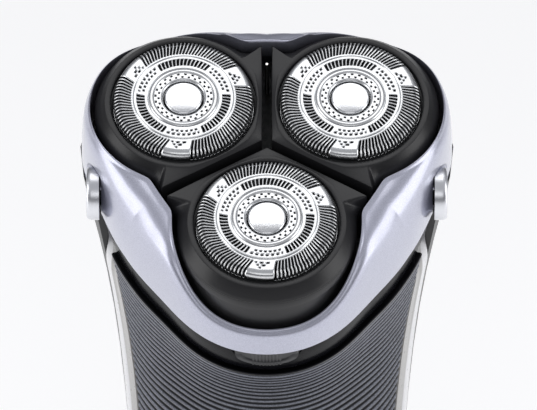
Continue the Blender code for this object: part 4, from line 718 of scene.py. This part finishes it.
def holder_sheet(angle):
    """Rays from the head's centre to the outline, bent through the section's stations.

    Stations run from the lip under the cap, over the land, crease and slope, down the skirt.
    """
    outline, outer = lobe_outline(angle)
    centre = head_centre(angle)
    ray = outline - centre
    reach = np.hypot(*ray.T)
    unit = ray / reach[:, None]
    crease = np.minimum(CAP_R + 1.9 * MM, HOLE_R + 0.45 * (reach - HOLE_R))
    drop = (0.25 + 2.1 * outer) * MM
    land = -1.25 * MM
    wide = reach - crease
    stations = [(HOLE_R - 0.5 * MM, -3.2 * MM), (HOLE_R - 0.5 * MM, -2.7 * MM), (HOLE_R, -2.5 * MM),
                (HOLE_R, land - 0.25 * MM), (HOLE_R + 0.07 * MM, land - 0.08 * MM),
                (HOLE_R + 0.22 * MM, land), (crease - 0.12 * MM, land), (crease, land - 0.03 * MM)]
    for part in (0.08, 0.25, 0.5, 0.75, 0.86):
        stations.append((crease + part * wide, land - 0.05 * MM - drop * part**1.1))
    edge_z = land - 0.05 * MM - drop
    parting = -5.0 * MM - 0.6 * MM * outer
    stations += [(reach - 0.05 * wide, edge_z), (reach - 0.12 * MM, edge_z - 0.12 * MM),
                 (reach, edge_z - 0.4 * MM), (reach, parting),
                 (reach - 0.35 * MM, parting - 0.15 * MM), (reach - 0.3 * MM, parting - 1.2 * MM),
                 (reach, HOLDER_FOOT + 0.2 * MM), (reach - 0.2 * MM, HOLDER_FOOT),
                 (reach - 1.2 * MM, HOLDER_FOOT), (reach - 1.2 * MM, -3.3 * MM)]
    rows = []
    for radius, z in stations:
        flat = centre + unit * np.broadcast_to(radius, reach.shape)[:, None]
        rows.append(np.column_stack([flat, np.broadcast_to(z, reach.shape)]))
    return np.stack(rows)


holder_black = satin_plastic("holder_black", (0.012, 0.012, 0.013), (0.020, 0.020, 0.022), 0.26, 2600.0)
for head, angle in HEADS.items():
    points = holder_sheet(angle)
    faces = grid_faces(*points.shape[:2], loop_rows=True, loop_columns=True)
    make_piece(f"head_lobe_{head}", in_head(points), faces, holder_black, f"holder_{head}",
               [f"holder_{head}"], None, 32)

# Shaving caps: stainless steel drawn to a cup, with an outer row of slots over the rim, a
# second row of shorter slots, patches of round holes and an inner row of holes, all etched
# right through, and lapped to a ring-marked finish. A ring holds each cap from below.
SLOTS = 108
WALL = 0.26 * MM


def cap_stations():
    """Profile of the cup from its sunk centre to its flange: rows of (radius, height) in mm."""
    inner = [(3.72, -0.8), (3.95, -0.8), (4.0, -0.5), (4.05, -0.1), (4.15, 0.0)]
    holes = [(r, 0.0) for r in (4.3, 4.34, 4.72, 4.78, 4.88, 4.92, 5.30, 5.36)]
    swell = [(5.5, 0.0), (5.6, 0.12), (5.85, 0.17), (6.1, 0.12), (6.2, 0.0)]
    groove = [(6.35, -0.18), (6.55, -0.18), (6.7, 0.0), (6.95, 0.0)]
    second = [(r, 0.0) for r in (7.1, 7.25, 7.63, 7.75, 8.05, 8.43, 8.6, 8.7)]
    ring = [(8.85, 0.0), (8.95, -0.16), (9.05, -0.16), (9.15, 0.0),
            (9.25, -0.16), (9.35, -0.16), (9.45, 0.0)]
    outer = [(r, 0.0) for r in (9.6, 9.72, 10.1, 10.28, 10.66, 10.84, 11.2, 11.4)]
    turn = np.linspace(0.25, 1.0, 5) * math.pi / 2
    bend = [(11.4 + 1.1 * math.sin(t), 1.1 * math.cos(t) - 1.1) for t in turn]
    wall = [(12.5, -1.5), (12.5, -1.9), (12.5, -3.45), (13.0, -3.5), (13.0, -4.2)]
    return np.array(inner + holes + swell + groove + second + ring + outer + bend + wall) * MM


def lattice_skin(centre, twist):
    """Outer skin of a cap: angle by station, with slots and holes left out of its faces.

    An outer slot takes every second column, widened to 0.56 of the pitch, and an inner slot two
    columns of three. A hole takes two or three columns of one row, in patches that face three ways.
    """
    station = cap_stations()
    columns = 2 * SLOTS
    column = np.arange(columns)
    angle = column * 2 * math.pi / columns
    radius = station[:, 0][:, None]
    lean = twist * soft_step(radius, 6.9 * MM, 12.6 * MM)
    away = np.abs(np.mod(np.degrees(angle) - 30 + 60, 120) - 60)
    outer_zone = radius > 9.5 * MM
    slotted = outer_zone * (away > 12)
    widen = 0.12 * np.where(column % 2, 1, -1) * 2 * math.pi / columns * slotted
    place = angle + lean + widen
    points = np.stack([centre[0] + radius * np.cos(place), centre[1] + radius * np.sin(place),
                       station[:, 1][:, None] + 0 * place], -1)
    rows = len(station) - 1
    near, far = station[:-1, 0][:, None] / MM, station[1:, 0][:, None] / MM
    even = column % 2 == 0
    last = np.arange(rows)[:, None] < rows - 4
    cut = (near >= 9.59) & last & even & (away > 12.5)
    cut |= (near >= 7.09) & (far <= 8.61) & (column % 3 > 0) & (away > 23.5)
    step = np.mod(column + 2 - columns // 12, columns)
    for low, shift, reach in ((9.72, 0, 9.5), (10.28, 2, 6.5), (10.84, 0, 2.5)):
        cut |= (np.abs(near - low) < 0.01) & (np.mod(step + shift, 4) < 2) & (away < reach)
    for low, shift in ((7.25, 0), (8.05, 2)):
        cut |= (np.abs(near - low) < 0.01) & (np.mod(step + shift, 4) < 2) & (away < 21)
    for low, shift in ((4.34, 0), (4.92, 4)):
        cut |= (np.abs(near - low) < 0.01) & (np.mod(column + shift, 9) < 3)
    faces = grid_faces(*points.shape[:2], loop_columns=True).reshape(rows, columns, 4)
    sheet = np.stack([np.cos(place) * radius / MM, np.sin(place) * radius / MM], -1)
    return points, faces[~cut], sheet


lapped = Shading("lapped_steel", Metallic=1.0)
sheet_uv = lapped.place("UV")
radius = lapped.node("ShaderNodeVectorMath", {"operation": "LENGTH"}, {0: sheet_uv}, output=1)
rings = lapped.noise(lapped.node("ShaderNodeCombineXYZ", sockets={"X": radius * 9.0}), 1.0, 4.0)
haze = lapped.noise(lapped.place(), 240.0)
lapped.feed(Base_Color=lapped.blend(haze, (0.66, 0.67, 0.68), (0.82, 0.83, 0.84)),
            Roughness=0.16 + 0.12 * rings + 0.06 * haze)
lapped.bump(rings, 0.00002, 0.3)
for head, angle in HEADS.items():
    points, faces, sheet = lattice_skin(head_centre(angle), math.radians(-7))
    cap = make_piece(f"cap_grille_{head}", in_head(points), faces[:, ::-1], lapped.material, f"cap_{head}",
                     [f"shaving_cap_{head}"], sheet, 50, closed=False)
    skin = cap.modifiers.new("Wall", "SOLIDIFY")
    skin.thickness = WALL
    skin.offset = -1

# Cap discs: a turned and polished stainless dome pressed into each cap's centre.
# Its tool marks are fine rings, and its foot is rolled under a narrow dark gap.
def disc_sheet(centre):
    """The dome's profile turned about the cap's axis: a rolled edge and a shallow crown."""
    share = np.linspace(0, 1, 26)
    crown_r = 3.1 * (1 - share)
    crown_z = 0.2 + 0.24 * (1 - (crown_r / 3.1) ** 2)
    edge_t = np.linspace(0, math.pi / 2, 8)
    edge_r = 3.1 + 0.35 * np.cos(edge_t)
    edge_z = -0.15 + 0.35 * np.sin(edge_t)
    radius = np.concatenate([[0.0, 3.45], edge_r, crown_r[1:]]) * MM
    z = np.concatenate([[-0.5, -0.5], edge_z, crown_z[1:]]) * MM
    turn = np.linspace(0, 2 * math.pi, 96, endpoint=False)
    radius = np.maximum(radius, 0.004 * MM)[:, None]
    points = np.stack([centre[0] + radius * np.cos(turn), centre[1] + radius * np.sin(turn),
                       z[:, None] + 0 * turn], -1)
    sheet = np.stack([radius * np.cos(turn), radius * np.sin(turn)], -1) / MM
    faces = grid_faces(*points.shape[:2], loop_columns=True).tolist()
    last = (len(radius) - 1) * 96
    faces += [list(range(96))[::-1], list(range(last, last + 96))]
    return points, sheet, faces


polished = Shading("polished_disc", Metallic=1.0)
sheet_uv = polished.place("UV")
radius = polished.node("ShaderNodeVectorMath", {"operation": "LENGTH"}, {0: sheet_uv}, output=1)
rings = polished.noise(polished.node("ShaderNodeCombineXYZ", sockets={"X": radius * 16.0}), 1.0, 3.0)
polished.feed(Base_Color=polished.blend(rings, (0.78, 0.79, 0.81), (0.90, 0.91, 0.93)),
              Roughness=0.08 + 0.14 * rings)
polished.bump(rings, 0.00002, 0.5)
for head, angle in HEADS.items():
    points, sheet, faces = disc_sheet(head_centre(angle))
    make_piece(f"centre_disc_{head}", in_head(points), faces, polished.material, f"cap_{head}",
               [f"cap_disc_{head}"], sheet, 40)

# Cutters, trimmer blade and comb: hardened steel. The blade and comb are ground on one face and
# left grey elsewhere. The cutters turn behind the caps, so only their tips show through the slots.
ground = Shading("ground_steel", Metallic=1.0)
spot = ground.place()
grind = ground.noise(ground.stretched(spot, (1.0, 12.0, 1.0)), 700.0)
haze = ground.noise(spot, 200.0)
ground.feed(Base_Color=ground.blend(haze, (0.22, 0.22, 0.23), (0.34, 0.34, 0.36)),
            Roughness=0.3 + 0.2 * grind)
ground.bump(grind, 0.00003, 0.5)
coat(ground.material, "trimmer_comb", "trimmer_blade")
# Painted shade: the cutters' steel is coloured near black, as the shade inside the head, with a faint
# mottle.
cutter_shade_steel = Shading("cutter_steel_painted_shade", Metallic=0.4)
cutter_mottle = cutter_shade_steel.noise(cutter_shade_steel.place(), 500.0)
cutter_shade_steel.feed(Base_Color=cutter_shade_steel.blend(cutter_mottle, (0.010, 0.010, 0.011), (0.03, 0.03, 0.032)),
                Roughness=0.45 + 0.2 * cutter_mottle)
coat(cutter_shade_steel.material, *(f"cutter_{head}" for head in HEADS))

# Floor and studio: a pale seamless floor, a broad soft light above and behind the head,
# softer ones at both sides, and a dim pale room. The camera stands far off with a long lens.
floor_mesh = bpy.data.meshes.new("pale_floor")
FLOOR = 3.0
floor_mesh.from_pydata([(-FLOOR, -FLOOR, 0), (FLOOR, -FLOOR, 0), (FLOOR, FLOOR, 0), (-FLOOR, FLOOR, 0)],
                       [], [(0, 1, 2, 3)])
paper = Shading("floor_paper", Base_Color=(0.93, 0.93, 0.93, 1), Emission_Color=(1, 1, 1, 1),
                Emission_Strength=0.32)
paper.feed(Roughness=0.6 + 0.1 * paper.noise(paper.place(), 30.0))
floor_mesh.materials.append(paper.material)
floor = bpy.data.objects.new("pale_floor", floor_mesh)
bpy.context.scene.collection.objects.link(floor)


def soft_light(name, place, width, height, watts):
    """An area light that looks from its place towards the head."""
    lamp = bpy.data.lights.new(name, "AREA")
    lamp.shape = "RECTANGLE"
    lamp.size = width
    lamp.size_y = height
    lamp.energy = watts
    holder = bpy.data.objects.new(name, lamp)
    holder.location = place
    toward = Vector(HEAD_PLACE) - Vector(place)
    holder.rotation_euler = toward.to_track_quat("-Z", "Y").to_euler()
    bpy.context.scene.collection.objects.link(holder)


HEAD_PLACE = (0.0, -0.017, 0.152)
soft_light("top_light", (0.0, 0.22, 0.75), width=0.5, height=0.4, watts=0.9)
soft_light("left_light", (-0.6, -0.15, 0.32), width=0.35, height=0.6, watts=1.5)
soft_light("right_light", (0.6, -0.15, 0.32), width=0.35, height=0.6, watts=1.5)
soft_light("front_light", (0.0, -0.7, 0.55), width=0.5, height=0.25, watts=0.4)
room = bpy.data.worlds.new("studio_room")
room.use_nodes = True
wall = room.node_tree.nodes["Background"]
ramp = room.node_tree.nodes.new("ShaderNodeValToRGB")
low, high = ramp.color_ramp.elements
low.position, low.color = 0.08, (0.16, 0.16, 0.18, 1)
high.position, high.color = 0.75, (0.85, 0.86, 0.90, 1)
height = room.node_tree.nodes.new("ShaderNodeSeparateXYZ")
sky = room.node_tree.nodes.new("ShaderNodeTexCoord")
room.node_tree.links.new(sky.outputs["Generated"], height.inputs[0])
room.node_tree.links.new(height.outputs["Z"], ramp.inputs[0])
room.node_tree.links.new(ramp.outputs["Color"], wall.inputs["Color"])
wall.inputs["Strength"].default_value = 0.5
bpy.context.scene.view_settings.view_transform = "Standard"
bpy.context.scene.world = room

VIEW_UP = math.radians(36)
DISTANCE = 1.8
FRAME_WIDTH = 0.0976
SIDEWAYS, DOWNWARDS = 0.0003, 0.0122
aim = Vector(in_head((0, 0, 0))) + Vector((SIDEWAYS, 0, 0))
aim = aim - DOWNWARDS * Vector((0, math.sin(VIEW_UP), math.cos(VIEW_UP)))
lens_data = bpy.data.cameras.new("studio_camera")
lens_data.sensor_width = 36
lens_data.lens = lens_data.sensor_width * DISTANCE / FRAME_WIDTH
lens_data.clip_start = 0.1
lens_data.clip_end = 20
camera = bpy.data.objects.new("studio_camera", lens_data)
camera.location = aim + DISTANCE * Vector((0, -math.cos(VIEW_UP), math.sin(VIEW_UP)))
camera.rotation_euler = (math.radians(90) - VIEW_UP, 0, 0)
bpy.context.scene.collection.objects.link(camera)
bpy.context.scene.camera = camera
